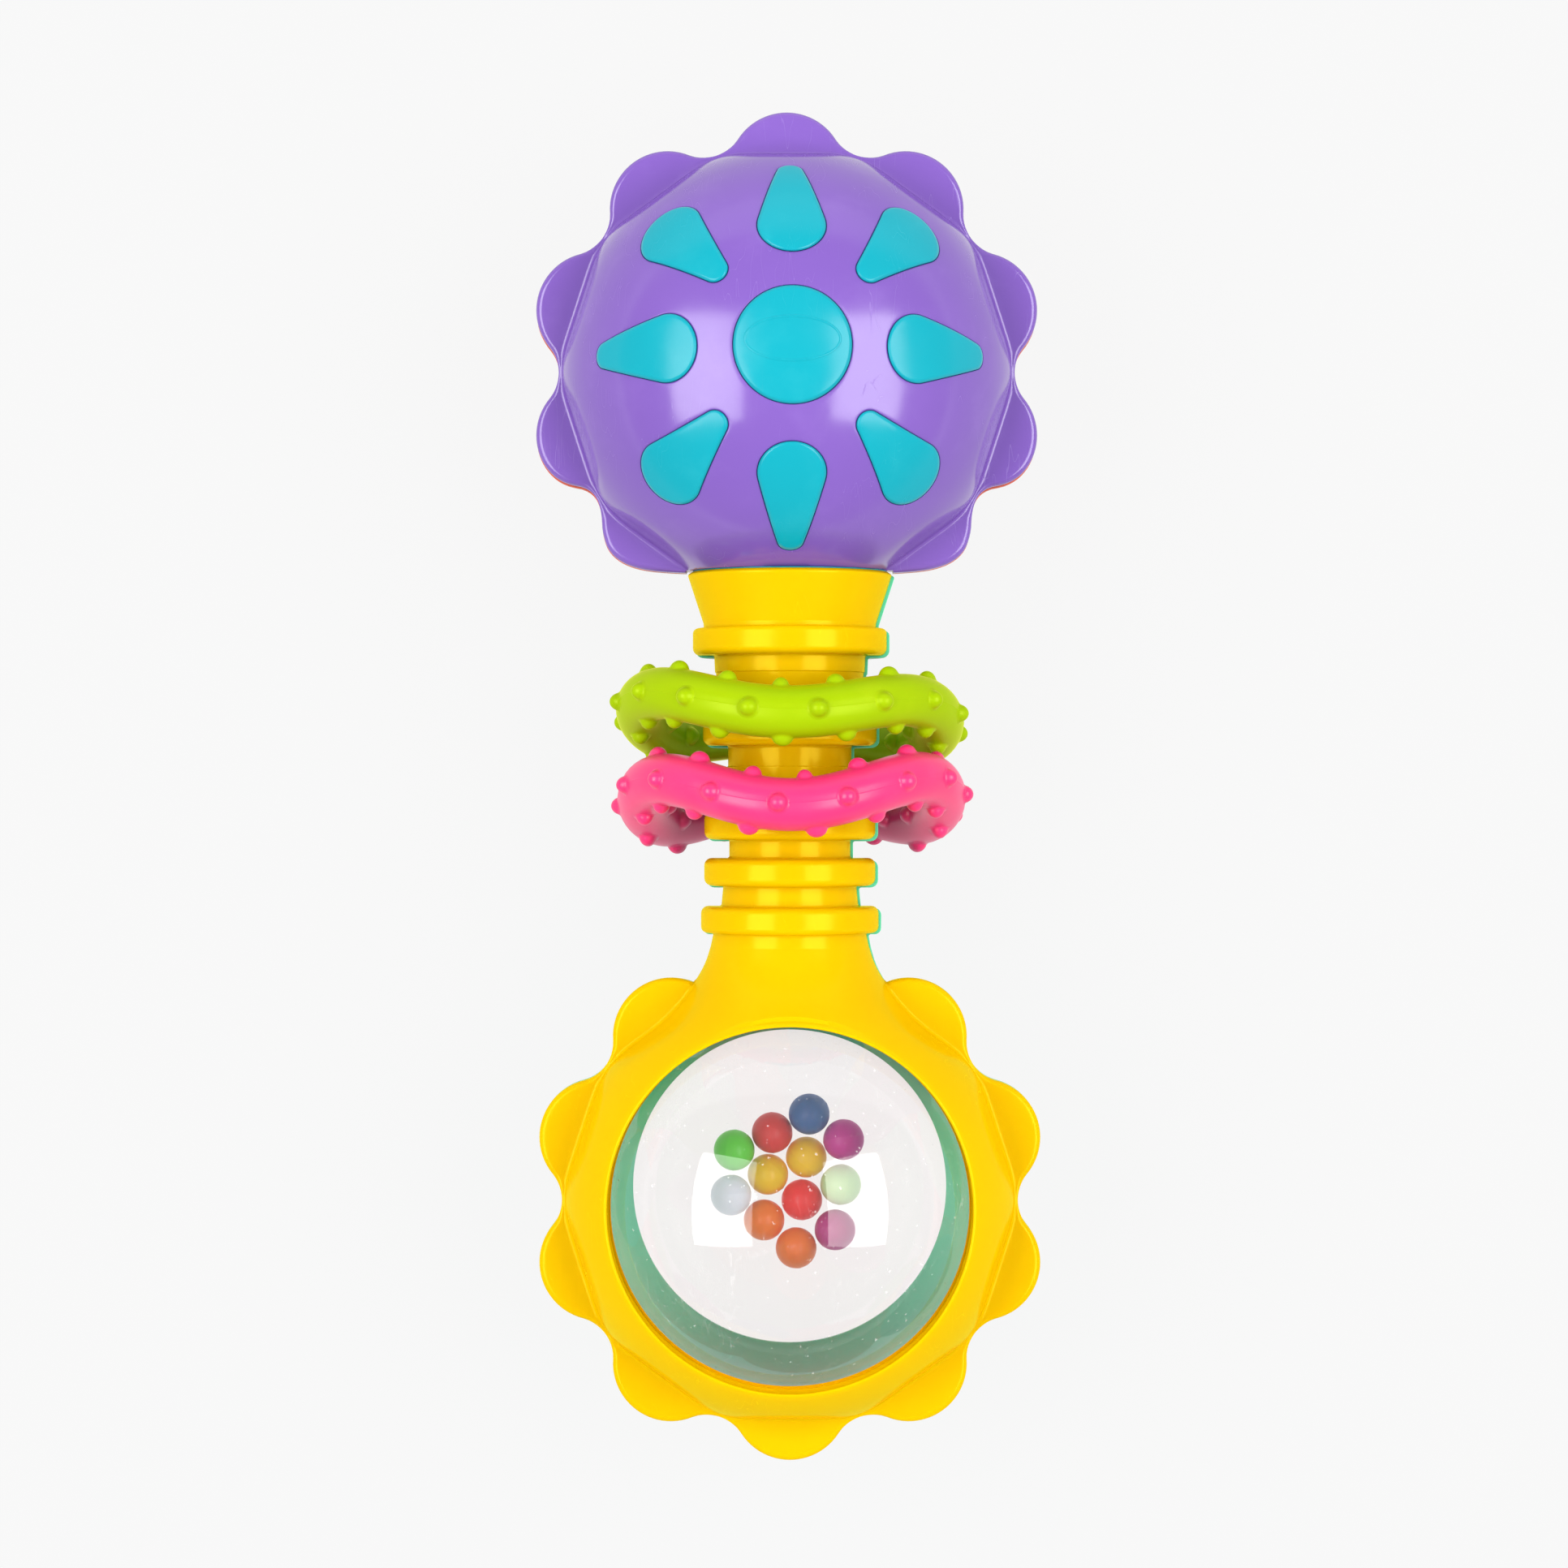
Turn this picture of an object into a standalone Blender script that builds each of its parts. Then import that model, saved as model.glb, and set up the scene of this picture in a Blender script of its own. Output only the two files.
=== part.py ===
"""Baby rattle: a ribbed grip with a clear ball of loose beads at one end, a scalloped
head that clicks round on a ratchet at the other, and two loose wavy rings on the grip.

Frame: the rattle lies on its back. +Z is up, out of the front face, +Y runs along the
grip towards the head, +X is to the right. The origin is the bottom centre of its box.
The shells part in the plane z = MID. Dimensions below are in millimetres.
"""

import math

import bmesh
import bpy
from mathutils import Matrix, Vector

MM = 0.001

# Overall layout
MID = 27.2  # height of the parting plane
HEAD_Y = 55.3  # centre of the head
BALL_Y = -55.3  # centre of the bead ball
GAP = 0.15  # half of the gap at the parting plane
STEPS = 30  # flats round a dome
INNER_STEPS = 20  # flats round an inner wall
BALL_STEPS = 24  # flats round the clear ball and its socket

# Scalloped rim, ten lobes, the same on both ends
LOBES = 10
LOBE_CENTRE = 27.0
LOBE_RADIUS = 7.75
VALLEY_RADIUS = 30.4
RIM_HALF = 2.2

# Domed ends
DOME_RADIUS = 30.0
HEAD_HEIGHT = 26.8
BALL_BODY_HEIGHT = 27.2
FACET_AT_RIM = 29.1  # distance of a lobe's facet from the centre, at the rim's face
FACET_SLOPE = 0.1625  # how much nearer it comes per millimetre of height
HEAD_WALL = 2.2
HEAD_CUT_Y = 28.8  # flat end of the head, facing the neck

# Clear ball
BALL_RADIUS = 27.2
BALL_WALL = 1.6
FRONT_OPENING = 23.8
REAR_OPENING = 21.6
CLEARANCE = 0.3

# Loose beads
BEAD_RADIUS = 2.75
BEAD_SPOTS = {
    "bead_01": (2.7, 9.7, (0.16, 0.30, 0.52)),
    "bead_02": (-2.5, 7.0, (0.80, 0.26, 0.30)),
    "bead_03": (7.4, 6.1, (0.66, 0.16, 0.50)),
    "bead_04": (-7.6, 4.7, (0.29, 0.71, 0.26)),
    "bead_05": (2.4, 3.6, (0.97, 0.73, 0.10)),
    "bead_06": (-3.1, 1.1, (0.97, 0.70, 0.13)),
    "bead_07": (7.1, -0.2, (0.76, 0.89, 0.68)),
    "bead_08": (-8.0, -1.6, (0.72, 0.77, 0.86)),
    "bead_09": (1.7, -2.4, (0.88, 0.22, 0.24)),
    "bead_10": (-3.6, -5.1, (1.00, 0.45, 0.18)),
    "bead_11": (6.3, -6.4, (0.70, 0.27, 0.52)),
    "bead_12": (0.9, -8.9, (1.00, 0.40, 0.17)),
}

# Teal bosses, as angles from the head's axis in degrees
DISC_RADIUS = 7.6
CARDINAL_DROP = ((32.5, 8.5), (53.8, 3.2))
DIAGONAL_DROP = ((26.8, 3.3), (48.2, 8.8))
BOSS_PROUD = 0.4
HOLE_FLOOR = 9.0
PLATE_FROM_Y = 35.3  # the inserts end short of the ratchet

# Grip
BORE_RADIUS = 6.1
SPIGOT_RADIUS = 7.0
SPIGOT_FLANGE = 8.4
BEARING_RADIUS = 7.4
GRIP_PROFILE = [
    # (distance along the grip, radius), from the spigot's tip to inside the ball body
    (38.0, 0.0),
    (38.0, 4.4),
    (33.0, 4.4),
    (33.0, SPIGOT_FLANGE),
    (31.35, SPIGOT_FLANGE),
    (31.35, SPIGOT_RADIUS),
    (27.7, SPIGOT_RADIUS),
    (27.7, 13.1),
    (27.3, 13.55),
    (21.6, 11.6),
]
RIBS = [
    # (top, bottom, radius, radius of the groove below at its top and at its bottom)
    (21.0, 17.3, 12.97, 10.1, 9.3),
    (9.06, 5.27, 11.62, 8.25, 8.4),
    (-3.53, -7.22, 11.45, 8.1, 8.1),
    (-9.72, -13.41, 11.45, 8.9, 9.16),
    (-16.12, -19.7, 11.88, 10.2, 10.2),
]
FLARE = [
    (-21.5, 10.58),
    (-23.3, 11.13),
    (-25.0, 11.72),
    (-26.5, 12.5),
    (-27.6, 13.3),
    (-28.5, 14.33),
    (-29.6, 15.6),
    (-31.2, 16.9),
    (-33.8, 17.6),
    (-33.8, 0.0),
]
BORE_ENDS = (-25.4, 25.4)
SCREW_SPOTS = {"handle_screw_lower": -22.4, "handle_screw_upper": 23.4}
SCREW_HEAD_RADIUS = 2.1
SCREW_RADIUS = 1.0

# Ratchet
WHEEL_FROM, WHEEL_TO = 33.4, 36.8
WHEEL_RADIUS = 8.4
WHEEL_ROOT = 7.2
WHEEL_BORE = 4.8
TEETH = 12
POST_X, POST_Z, POST_RADIUS = 11.9, -3.2, 1.6

# Loose rings
RING_RADIUS = 19.95
TUBE_RADIUS = 3.45
BUMP_HEIGHT = 0.85
BUMPS_ROUND = 16
RING_Z = 24.4
RINGS = {
    # place across and along the grip, lean of the top towards the head, lean to the right,
    # wave height, whether a bump or a gap comes first on the outside
    "lime_ring": (0.0, 9.1, 1.9, -0.7, 1.5, 0, (0.72, 0.88, 0.02)),
    "pink_ring": (0.25, -2.0, 1.55, 0.15, 2.05, 1, (1.0, 0.22, 0.50)),
}

YELLOW = (0.98, 0.80, 0.0)
MINT = (0.42, 0.80, 0.66)
PURPLE = (0.52, 0.34, 0.82)
ORANGE_RED = (0.89, 0.33, 0.20)
TEAL = (0.0, 0.76, 0.85)
STEEL = (0.72, 0.72, 0.74)
WHITE = (0.92, 0.92, 0.90)
CLEAR = (0.95, 0.96, 0.97)


# ---------------------------------------------------------------- scene and helpers


def clear_scene():
    for obj in list(bpy.data.objects):
        bpy.data.objects.remove(obj, do_unlink=True)
    for block in list(bpy.data.meshes):
        bpy.data.meshes.remove(block)


def collection(name):
    made = bpy.data.collections.new(name)
    bpy.context.scene.collection.children.link(made)
    return made


def plastic(name, colour, roughness=0.28, metallic=0.0, transmission=0.0):
    mat = bpy.data.materials.new(name)
    mat.use_nodes = True
    shader = mat.node_tree.nodes["Principled BSDF"]
    shader.inputs["Base Color"].default_value = (*colour, 1.0)
    shader.inputs["Roughness"].default_value = roughness
    shader.inputs["Metallic"].default_value = metallic
    shader.inputs["Transmission Weight"].default_value = transmission
    mat.diffuse_color = (*colour, 1.0)
    return mat


def empty(name, x, y, z):
    obj = bpy.data.objects.new(name, None)
    obj.empty_display_size = 0.01
    obj.location = (x * MM, y * MM, z * MM)
    PARTS.objects.link(obj)
    return obj


def piece(name, mesh, parent, mat, angle=35.0):
    """A part: one named object in the rattle's collection."""
    obj = bpy.data.objects.new(name, mesh)
    PARTS.objects.link(obj)
    obj.parent = parent
    mesh.materials.clear()
    mesh.materials.append(mat)
    mesh.shade_smooth()
    mesh.set_sharp_from_angle(angle=math.radians(angle))
    return obj


def tool(name, mesh, parent):
    """A helper solid that a part is joined with, cut by or kept inside."""
    obj = bpy.data.objects.new(name, mesh)
    TOOLS.objects.link(obj)
    obj.parent = parent
    obj.hide_render = True
    obj.display_type = "WIRE"
    return obj


def boolean(obj, operation, other):
    modifier = obj.modifiers.new(other.name, "BOOLEAN")
    modifier.operation = operation
    modifier.solver = "EXACT"
    modifier.object = other


def join(obj, *others):
    for other in others:
        boolean(obj, "UNION", other)


def cut(obj, *others):
    for other in others:
        boolean(obj, "DIFFERENCE", other)


def keep(obj, *others):
    for other in others:
        boolean(obj, "INTERSECT", other)


def finished(bm):
    bmesh.ops.recalc_face_normals(bm, faces=bm.faces)
    mesh = bpy.data.meshes.new("mesh")
    bm.to_mesh(mesh)
    bm.free()
    return mesh


def baked(obj):
    """The object's evaluated mesh, with coincident points welded, and the object removed."""
    bpy.context.view_layer.update()
    graph = bpy.context.evaluated_depsgraph_get()
    mesh = bpy.data.meshes.new_from_object(obj.evaluated_get(graph))
    bpy.data.objects.remove(obj, do_unlink=True)
    bm = bmesh.new()
    bm.from_mesh(mesh)
    bmesh.ops.remove_doubles(bm, verts=bm.verts, dist=1e-6)
    bmesh.ops.dissolve_degenerate(bm, edges=bm.edges, dist=1e-7)
    return finished(bm)


def turned(profile, steps, axis="Z"):
    """A solid of revolution. profile holds (height, radius) in mm, from top to bottom."""
    bm = bmesh.new()
    points = [bm.verts.new((r * MM, 0.0, h * MM)) for h, r in profile]
    for a, b in zip(points, points[1:]):
        bm.edges.new((a, b))
    if profile[0][1] > 0:
        bm.edges.new((points[-1], points[0]))
    mesh = bpy.data.meshes.new("profile")
    bm.to_mesh(mesh)
    bm.free()
    obj = bpy.data.objects.new("profile", mesh)
    TOOLS.objects.link(obj)
    screw = obj.modifiers.new("turn", "SCREW")
    screw.axis = "Z"
    screw.angle = 2 * math.pi
    screw.steps = screw.render_steps = steps
    screw.use_merge_vertices = True
    screw.merge_threshold = 1e-5
    mesh = baked(obj)
    if axis == "Y":
        # Height along +Y: a turn about X that takes +Z to +Y
        mesh.transform(Matrix.Rotation(math.radians(-90), 4, "X"))
    return mesh


def extruded(outline, low, high):
    """A flat outline in the XY plane, as a curve with its faces filled, from z = low to z = high."""
    data = bpy.data.curves.new("outline", "CURVE")
    data.dimensions = "2D"
    data.fill_mode = "BOTH"
    data.extrude = (high - low) / 2 * MM
    spline = data.splines.new("POLY")
    spline.points.add(len(outline) - 1)
    for point, (x, y) in zip(spline.points, outline):
        point.co = (x * MM, y * MM, 0.0, 1.0)
    spline.use_cyclic_u = True
    obj = bpy.data.objects.new("outline", data)
    TOOLS.objects.link(obj)
    mesh = baked(obj)
    mesh.transform(Matrix.Translation((0, 0, (high + low) / 2 * MM)))
    return mesh


def box(x0, x1, y0, y1, z0, z1):
    bm = bmesh.new()
    bmesh.ops.create_cube(bm, size=1.0)
    size = Vector((x1 - x0, y1 - y0, z1 - z0)) * MM
    centre = Vector((x1 + x0, y1 + y0, z1 + z0)) * MM / 2
    bmesh.ops.scale(bm, vec=size, verts=bm.verts)
    bmesh.ops.translate(bm, vec=centre, verts=bm.verts)
    return finished(bm)


def cylinder(radius, low, high, x=0.0, y=0.0, steps=20):
    """A cylinder along Z."""
    bm = bmesh.new()
    bmesh.ops.create_cone(bm, cap_ends=True, segments=steps, radius1=radius * MM, radius2=radius * MM, depth=(high - low) * MM)
    bmesh.ops.translate(bm, vec=Vector((x, y, (high + low) / 2)) * MM, verts=bm.verts)
    return finished(bm)


def facets(height):
    """Ten flat walls that lean in: kept inside them, a dome gets one steep facet a lobe."""
    low = -1.0
    per = math.cos(math.pi / LOBES)
    wide = (FACET_AT_RIM + FACET_SLOPE * (RIM_HALF - low)) / per
    narrow = (FACET_AT_RIM + FACET_SLOPE * (RIM_HALF - height)) / per
    bm = bmesh.new()
    bmesh.ops.create_cone(bm, cap_ends=True, segments=LOBES, radius1=wide * MM, radius2=narrow * MM, depth=(height - low) * MM)
    bmesh.ops.translate(bm, vec=Vector((0, 0, (height + low) / 2)) * MM, verts=bm.verts)
    # The primitive's corners start on the Y axis: turn it so that flats face the lobes
    mesh = finished(bm)
    corner = max(mesh.vertices, key=lambda v: v.co.length).co
    now = math.degrees(math.atan2(corner.y, corner.x))
    mesh.transform(Matrix.Rotation(math.radians(0.0 - now), 4, "Z"))
    return mesh


def mirrored(mesh):
    """The same shape on the other side of the parting plane."""
    copy = mesh.copy()
    copy.transform(Matrix.Scale(-1.0, 4, (0, 0, 1)))
    copy.flip_normals()
    return copy


def sided(mesh, side):
    return mesh if side > 0 else mirrored(mesh)


def ellipse(radius, height, rows, low=None):
    """Profile of an ellipsoid, from its top to its bottom, or to the given height."""
    points = []
    for i in range(rows + 1):
        t = math.pi * i / rows
        points.append((height * math.cos(t), radius * math.sin(t)))
    points[0] = (height, 0.0)
    points[-1] = (-height, 0.0)
    return points


# ---------------------------------------------------------------- outlines


def rim_radius(turn):
    """Radius of the scalloped rim at an angle from a lobe's tip, in degrees: tangent arcs."""
    step = 360.0 / LOBES
    off = abs((turn + step / 2) % step - step / 2)
    half = math.radians(step / 2)
    gap2 = LOBE_CENTRE**2
    fillet = (gap2 + VALLEY_RADIUS**2 - 2 * LOBE_CENTRE * VALLEY_RADIUS * math.cos(half) - LOBE_RADIUS**2) / (
        2 * (LOBE_RADIUS - VALLEY_RADIUS + LOBE_CENTRE * math.cos(half))
    )
    far = VALLEY_RADIUS + fillet
    centre = Vector((LOBE_CENTRE, 0.0))
    hollow = Vector((far * math.cos(half), far * math.sin(half)))
    touch = centre + (hollow - centre) * (LOBE_RADIUS / (LOBE_RADIUS + fillet))
    limit = math.atan2(touch.y, touch.x)
    a = math.radians(off)
    if a <= limit:
        return LOBE_CENTRE * math.cos(a) + math.sqrt(LOBE_RADIUS**2 - (LOBE_CENTRE * math.sin(a)) ** 2)
    b = half - a
    return far * math.cos(b) - math.sqrt(max(fillet**2 - (far * math.sin(b)) ** 2, 0.0))


def rim_outline(per_lobe=8):
    """Lobe tips lie at 18 degrees and every 36 degrees from there."""
    points = []
    count = LOBES * per_lobe
    for i in range(count):
        turn = 360.0 * i / count
        r = rim_radius(turn - 18.0)
        points.append((r * math.cos(math.radians(turn)), r * math.sin(math.radians(turn))))
    return points


def drop_outline(circles, spread, turn, arc=5):
    """Two circles on the dome and the lines that touch both, seen from above.

    Each circle is (angle from the axis, angular radius) in degrees; spread widens them, in mm.
    """
    (u1, r1), (u2, r2) = circles
    grow = math.degrees(spread / DOME_RADIUS)
    r1, r2 = r1 + grow, r2 + grow
    lean = math.degrees(math.asin((r1 - r2) / (u2 - u1)))
    flat = []
    for i in range(arc + 1):
        a = math.radians((90 - lean) - 2 * (90 - lean) * i / arc)
        flat.append((u2 + r2 * math.cos(a), r2 * math.sin(a)))
    for i in range(arc + 3):
        a = math.radians(-(90 - lean) - 2 * (90 + lean) * i / (arc + 2))
        flat.append((u1 + r1 * math.cos(a), r1 * math.sin(a)))
    points = []
    c, s = math.cos(math.radians(turn)), math.sin(math.radians(turn))
    for u, v in flat:
        u, v = math.radians(u), math.radians(v)
        x, y = DOME_RADIUS * math.sin(u) * math.cos(v), DOME_RADIUS * math.sin(v)
        points.append((x * c - y * s, x * s + y * c))
    return points


def boss_outlines(spread):
    shapes = {}
    for k in range(4):
        shapes[f"cardinal_{k}"] = drop_outline(CARDINAL_DROP, spread, 90 * k)
        shapes[f"diagonal_{k}"] = drop_outline(DIAGONAL_DROP, spread, 90 * k + 45)
    count = 20
    shapes["disc"] = [
        ((DISC_RADIUS + spread) * math.cos(2 * math.pi * i / count), (DISC_RADIUS + spread) * math.sin(2 * math.pi * i / count))
        for i in range(count)
    ]
    return shapes


# ---------------------------------------------------------------- head


def head_shell(name, side, mat):
    base = turned(ellipse(DOME_RADIUS, HEAD_HEIGHT, 14), STEPS)
    shell = piece(name, sided(base, side), HEAD, mat)
    keep(shell, tool(f"{name}_facets", sided(facets(HEAD_HEIGHT + 4), side), HEAD))
    join(shell, tool(f"{name}_rim", extruded(rim_outline(), -RIM_HALF, RIM_HALF), HEAD))
    inner = tool(f"{name}_inside", turned(ellipse(DOME_RADIUS - HEAD_WALL, HEAD_HEIGHT - HEAD_WALL, 8), INNER_STEPS), HEAD)
    keep(inner, tool(f"{name}_inside_end", box(-40, 40, 31.0 - HEAD_Y, 40, -40, 40), HEAD))
    cut(shell, inner)
    half = (GAP, 40.0) if side > 0 else (-40.0, -GAP)
    keep(shell, tool(f"{name}_half", box(-50, 50, HEAD_CUT_Y - HEAD_Y, 50, *half), HEAD))
    bearing = turned([(-20.0, 0.0), (-20.0, BEARING_RADIUS), (-28.0, BEARING_RADIUS), (-28.0, 0.0)], 24, "Y")
    cut(shell, tool(f"{name}_bearing", bearing, HEAD))
    for label, outline in boss_outlines(CLEARANCE).items():
        hole = extruded(outline, HOLE_FLOOR, 40.0)
        cut(shell, tool(f"{name}_hole_{label}", sided(hole, side), HEAD))
    return shell


def insert(name, side, mat):
    """Inner plate with nine bosses that come up through the shell."""
    proud = turned(ellipse(DOME_RADIUS + BOSS_PROUD, HEAD_HEIGHT + BOSS_PROUD, 14), STEPS)
    drops = None
    for label, outline in boss_outlines(0.0).items():
        prism = extruded(outline, 4.0, 40.0)
        solid = tool(f"{name}_{label}", sided(prism, side), HEAD)
        if drops is None:
            drops = solid
        else:
            join(drops, solid)
    plate_out = DOME_RADIUS - HEAD_WALL - CLEARANCE
    plate_in = plate_out - 1.4
    plate = piece(name, sided(turned(ellipse(plate_out, plate_out - DOME_RADIUS + HEAD_HEIGHT, 8), INNER_STEPS), side), HEAD, mat)
    disc = cylinder(24.9, 2.0, 40.0, steps=INNER_STEPS)
    beyond = box(-40, 40, PLATE_FROM_Y - HEAD_Y, 40, 0, 40)
    keep(plate, tool(f"{name}_edge", sided(disc, side), HEAD), tool(f"{name}_beyond", sided(beyond, side), HEAD))
    outer = tool(f"{name}_proud", sided(proud, side), HEAD)
    keep(outer, drops)
    join(plate, outer)
    cut(plate, tool(f"{name}_hollow", turned(ellipse(plate_in, plate_in - DOME_RADIUS + HEAD_HEIGHT, 8), INNER_STEPS), HEAD))
    # The lowest boss stays above the pocket in the head's end wall
    low = box(-40, 40, -40, PLATE_FROM_Y - 0.05 - HEAD_Y, -5, HOLE_FLOOR + 0.35)
    cut(plate, tool(f"{name}_end", sided(low, side), HEAD))
    return plate


def opposite(obj, name, mat):
    """The mirror image of a finished part, on the other side of the parting plane."""
    bpy.context.view_layer.update()
    graph = bpy.context.evaluated_depsgraph_get()
    mesh = mirrored(bpy.data.meshes.new_from_object(obj.evaluated_get(graph)))
    return piece(name, mesh, obj.parent, mat)


def make_head():
    purple = plastic("purple_plastic", PURPLE)
    orange = plastic("orange_red_plastic", ORANGE_RED)
    teal = plastic("teal_plastic", TEAL)
    head_shell("head_front_shell", 1, purple)
    rear = head_shell("head_rear_shell", -1, orange)
    post = cylinder(POST_RADIUS, 30.2 - HEAD_Y, 37.4 - HEAD_Y, steps=14)
    post.transform(Matrix.Rotation(math.radians(-90), 4, "X"))
    post.transform(Matrix.Translation(Vector((POST_X, 0, POST_Z)) * MM))
    join(rear, tool("tongue_post", post, HEAD))
    opposite(insert("front_insert", 1, teal), "rear_insert", teal)
    collar = turned([(28.5, BEARING_RADIUS), (28.5, 12.9), (28.0, 12.9), (28.0, BEARING_RADIUS)], 24, "Y")
    collar.transform(Matrix.Translation((0, -HEAD_Y * MM, 0)))
    piece("twist_collar", collar, HEAD, teal)


def make_ratchet():
    white = plastic("white_plastic", WHITE, 0.35)
    teeth = []
    for i in range(TEETH):
        a = 2 * math.pi * i / TEETH
        for part, r in ((-0.3, WHEEL_ROOT), (-0.12, WHEEL_RADIUS), (0.12, WHEEL_RADIUS), (0.3, WHEEL_ROOT)):
            b = a + part * 2 * math.pi / TEETH
            teeth.append((r * math.cos(b), r * math.sin(b)))
    wheel = extruded(teeth, WHEEL_FROM, WHEEL_TO)
    wheel.transform(Matrix.Rotation(math.radians(-90), 4, "X"))
    obj = piece("ratchet_wheel", wheel, GRIP, white)
    bore = turned([(WHEEL_TO + 2, 0.0), (WHEEL_TO + 2, WHEEL_BORE), (WHEEL_FROM - 2, WHEEL_BORE), (WHEEL_FROM - 2, 0.0)], 12, "Y")
    cut(obj, tool("ratchet_bore", bore, GRIP))

    # Tongue: a sleeve on the post with an arm that points at the wheel
    sleeve = cylinder(2.9, WHEEL_FROM, WHEEL_TO, steps=16)
    sleeve.transform(Matrix.Rotation(math.radians(-90), 4, "X"))
    sleeve.transform(Matrix.Translation(Vector((POST_X, -HEAD_Y, POST_Z)) * MM))
    tongue = piece("click_tongue", sleeve, HEAD, white)
    reach = math.hypot(POST_X, POST_Z)
    arm = box(WHEEL_RADIUS + 0.35, reach, WHEEL_FROM + 0.4, WHEEL_TO - 0.4, -0.7, 0.7)
    arm.transform(Matrix.Rotation(-math.atan2(POST_Z, POST_X), 4, "Y"))
    arm.transform(Matrix.Translation((0, -HEAD_Y * MM, 0)))
    join(tongue, tool("tongue_arm", arm, HEAD))
    hole = cylinder(POST_RADIUS + CLEARANCE, WHEEL_FROM - 2, WHEEL_TO + 2, steps=16)
    hole.transform(Matrix.Rotation(math.radians(-90), 4, "X"))
    hole.transform(Matrix.Translation(Vector((POST_X, -HEAD_Y, POST_Z)) * MM))
    cut(tongue, tool("tongue_hole", hole, HEAD))


# ---------------------------------------------------------------- handle and ball


def grip_profile():
    points = list(GRIP_PROFILE)
    for top, bottom, radius, groove_top, groove_bottom in RIBS:
        if (top, radius) == RIBS[0][:1] + RIBS[0][2:3]:
            points.append((top, 11.6))
        points += [(top, radius - 0.8), (top - 0.8, radius), (bottom + 0.8, radius), (bottom, radius - 0.8), (bottom, groove_top)]
        following = [r for r in RIBS if r[0] < top]
        if following:
            points.append((following[0][0], groove_bottom))
    return points + FLARE


def handle_shell(name, side, mat, opening):
    base = turned(grip_profile(), 20, "Y")
    shell = piece(name, sided(base, side), GRIP, mat)
    bulb = tool(f"{name}_bulb", sided(turned(ellipse(DOME_RADIUS, BALL_BODY_HEIGHT, 14), STEPS), side), BALL)
    keep(bulb, tool(f"{name}_facets", sided(facets(BALL_BODY_HEIGHT + 4), side), BALL))
    join(shell, bulb)
    join(shell, tool(f"{name}_rim", extruded(rim_outline(), -RIM_HALF, RIM_HALF), BALL))
    socket = BALL_RADIUS + CLEARANCE
    cut(shell, tool(f"{name}_socket", turned(ellipse(socket, socket, 10), BALL_STEPS), BALL))
    window = cylinder(opening, 8.0, 40.0, steps=STEPS)
    cut(shell, tool(f"{name}_window", sided(window, side), BALL))
    low, high = BORE_ENDS
    bore = turned([(high, 0.0), (high, BORE_RADIUS), (low, BORE_RADIUS), (low, 0.0)], 12, "Y")
    cut(shell, tool(f"{name}_bore", bore, GRIP))
    for label, y in SCREW_SPOTS.items():
        boss = cylinder(3.2, 0.0, 8.5, y=y, steps=12)
        join(shell, tool(f"{name}_boss_{label}", sided(boss, side), GRIP))
    half = (GAP, 40.0) if side > 0 else (-40.0, -GAP)
    keep(shell, tool(f"{name}_half", box(-50, 50, -100, 50, *half), GRIP))
    for label, y in SCREW_SPOTS.items():
        if side > 0:
            pilot = cylinder(SCREW_RADIUS + CLEARANCE, -5.0, 7.2, y=y, steps=10)
            cut(shell, tool(f"{name}_pilot_{label}", pilot, GRIP))
        else:
            through = cylinder(SCREW_RADIUS + CLEARANCE, -20.0, 5.0, y=y, steps=10)
            sunk = cylinder(SCREW_HEAD_RADIUS + CLEARANCE, -20.0, -5.2, y=y, steps=12)
            cut(shell, tool(f"{name}_through_{label}", through, GRIP), tool(f"{name}_sunk_{label}", sunk, GRIP))
    return shell


def clear_dome(name, side, mat):
    rows = 5
    outer, inner = BALL_RADIUS, BALL_RADIUS - BALL_WALL
    profile = []
    start = math.acos(GAP / outer)
    for i in range(rows + 1):
        t = start * i / rows
        profile.append((outer * math.cos(t), outer * math.sin(t)))
    profile[0] = (outer, 0.0)
    back = math.acos(GAP / inner)
    for i in range(rows, -1, -1):
        t = back * i / rows
        profile.append((inner * math.cos(t), inner * math.sin(t)))
    profile[-1] = (inner, 0.0)
    bm = bmesh.new()
    points = [bm.verts.new((r * MM, 0.0, h * MM)) for h, r in profile]
    for a, b in zip(points, points[1:]):
        bm.edges.new((a, b))
    mesh = bpy.data.meshes.new("profile")
    bm.to_mesh(mesh)
    bm.free()
    obj = bpy.data.objects.new("profile", mesh)
    TOOLS.objects.link(obj)
    screw = obj.modifiers.new("turn", "SCREW")
    screw.axis = "Z"
    screw.angle = 2 * math.pi
    screw.steps = screw.render_steps = BALL_STEPS
    screw.use_merge_vertices = True
    screw.merge_threshold = 1e-5
    return piece(name, sided(baked(obj), side), BALL, mat, 40.0)


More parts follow.
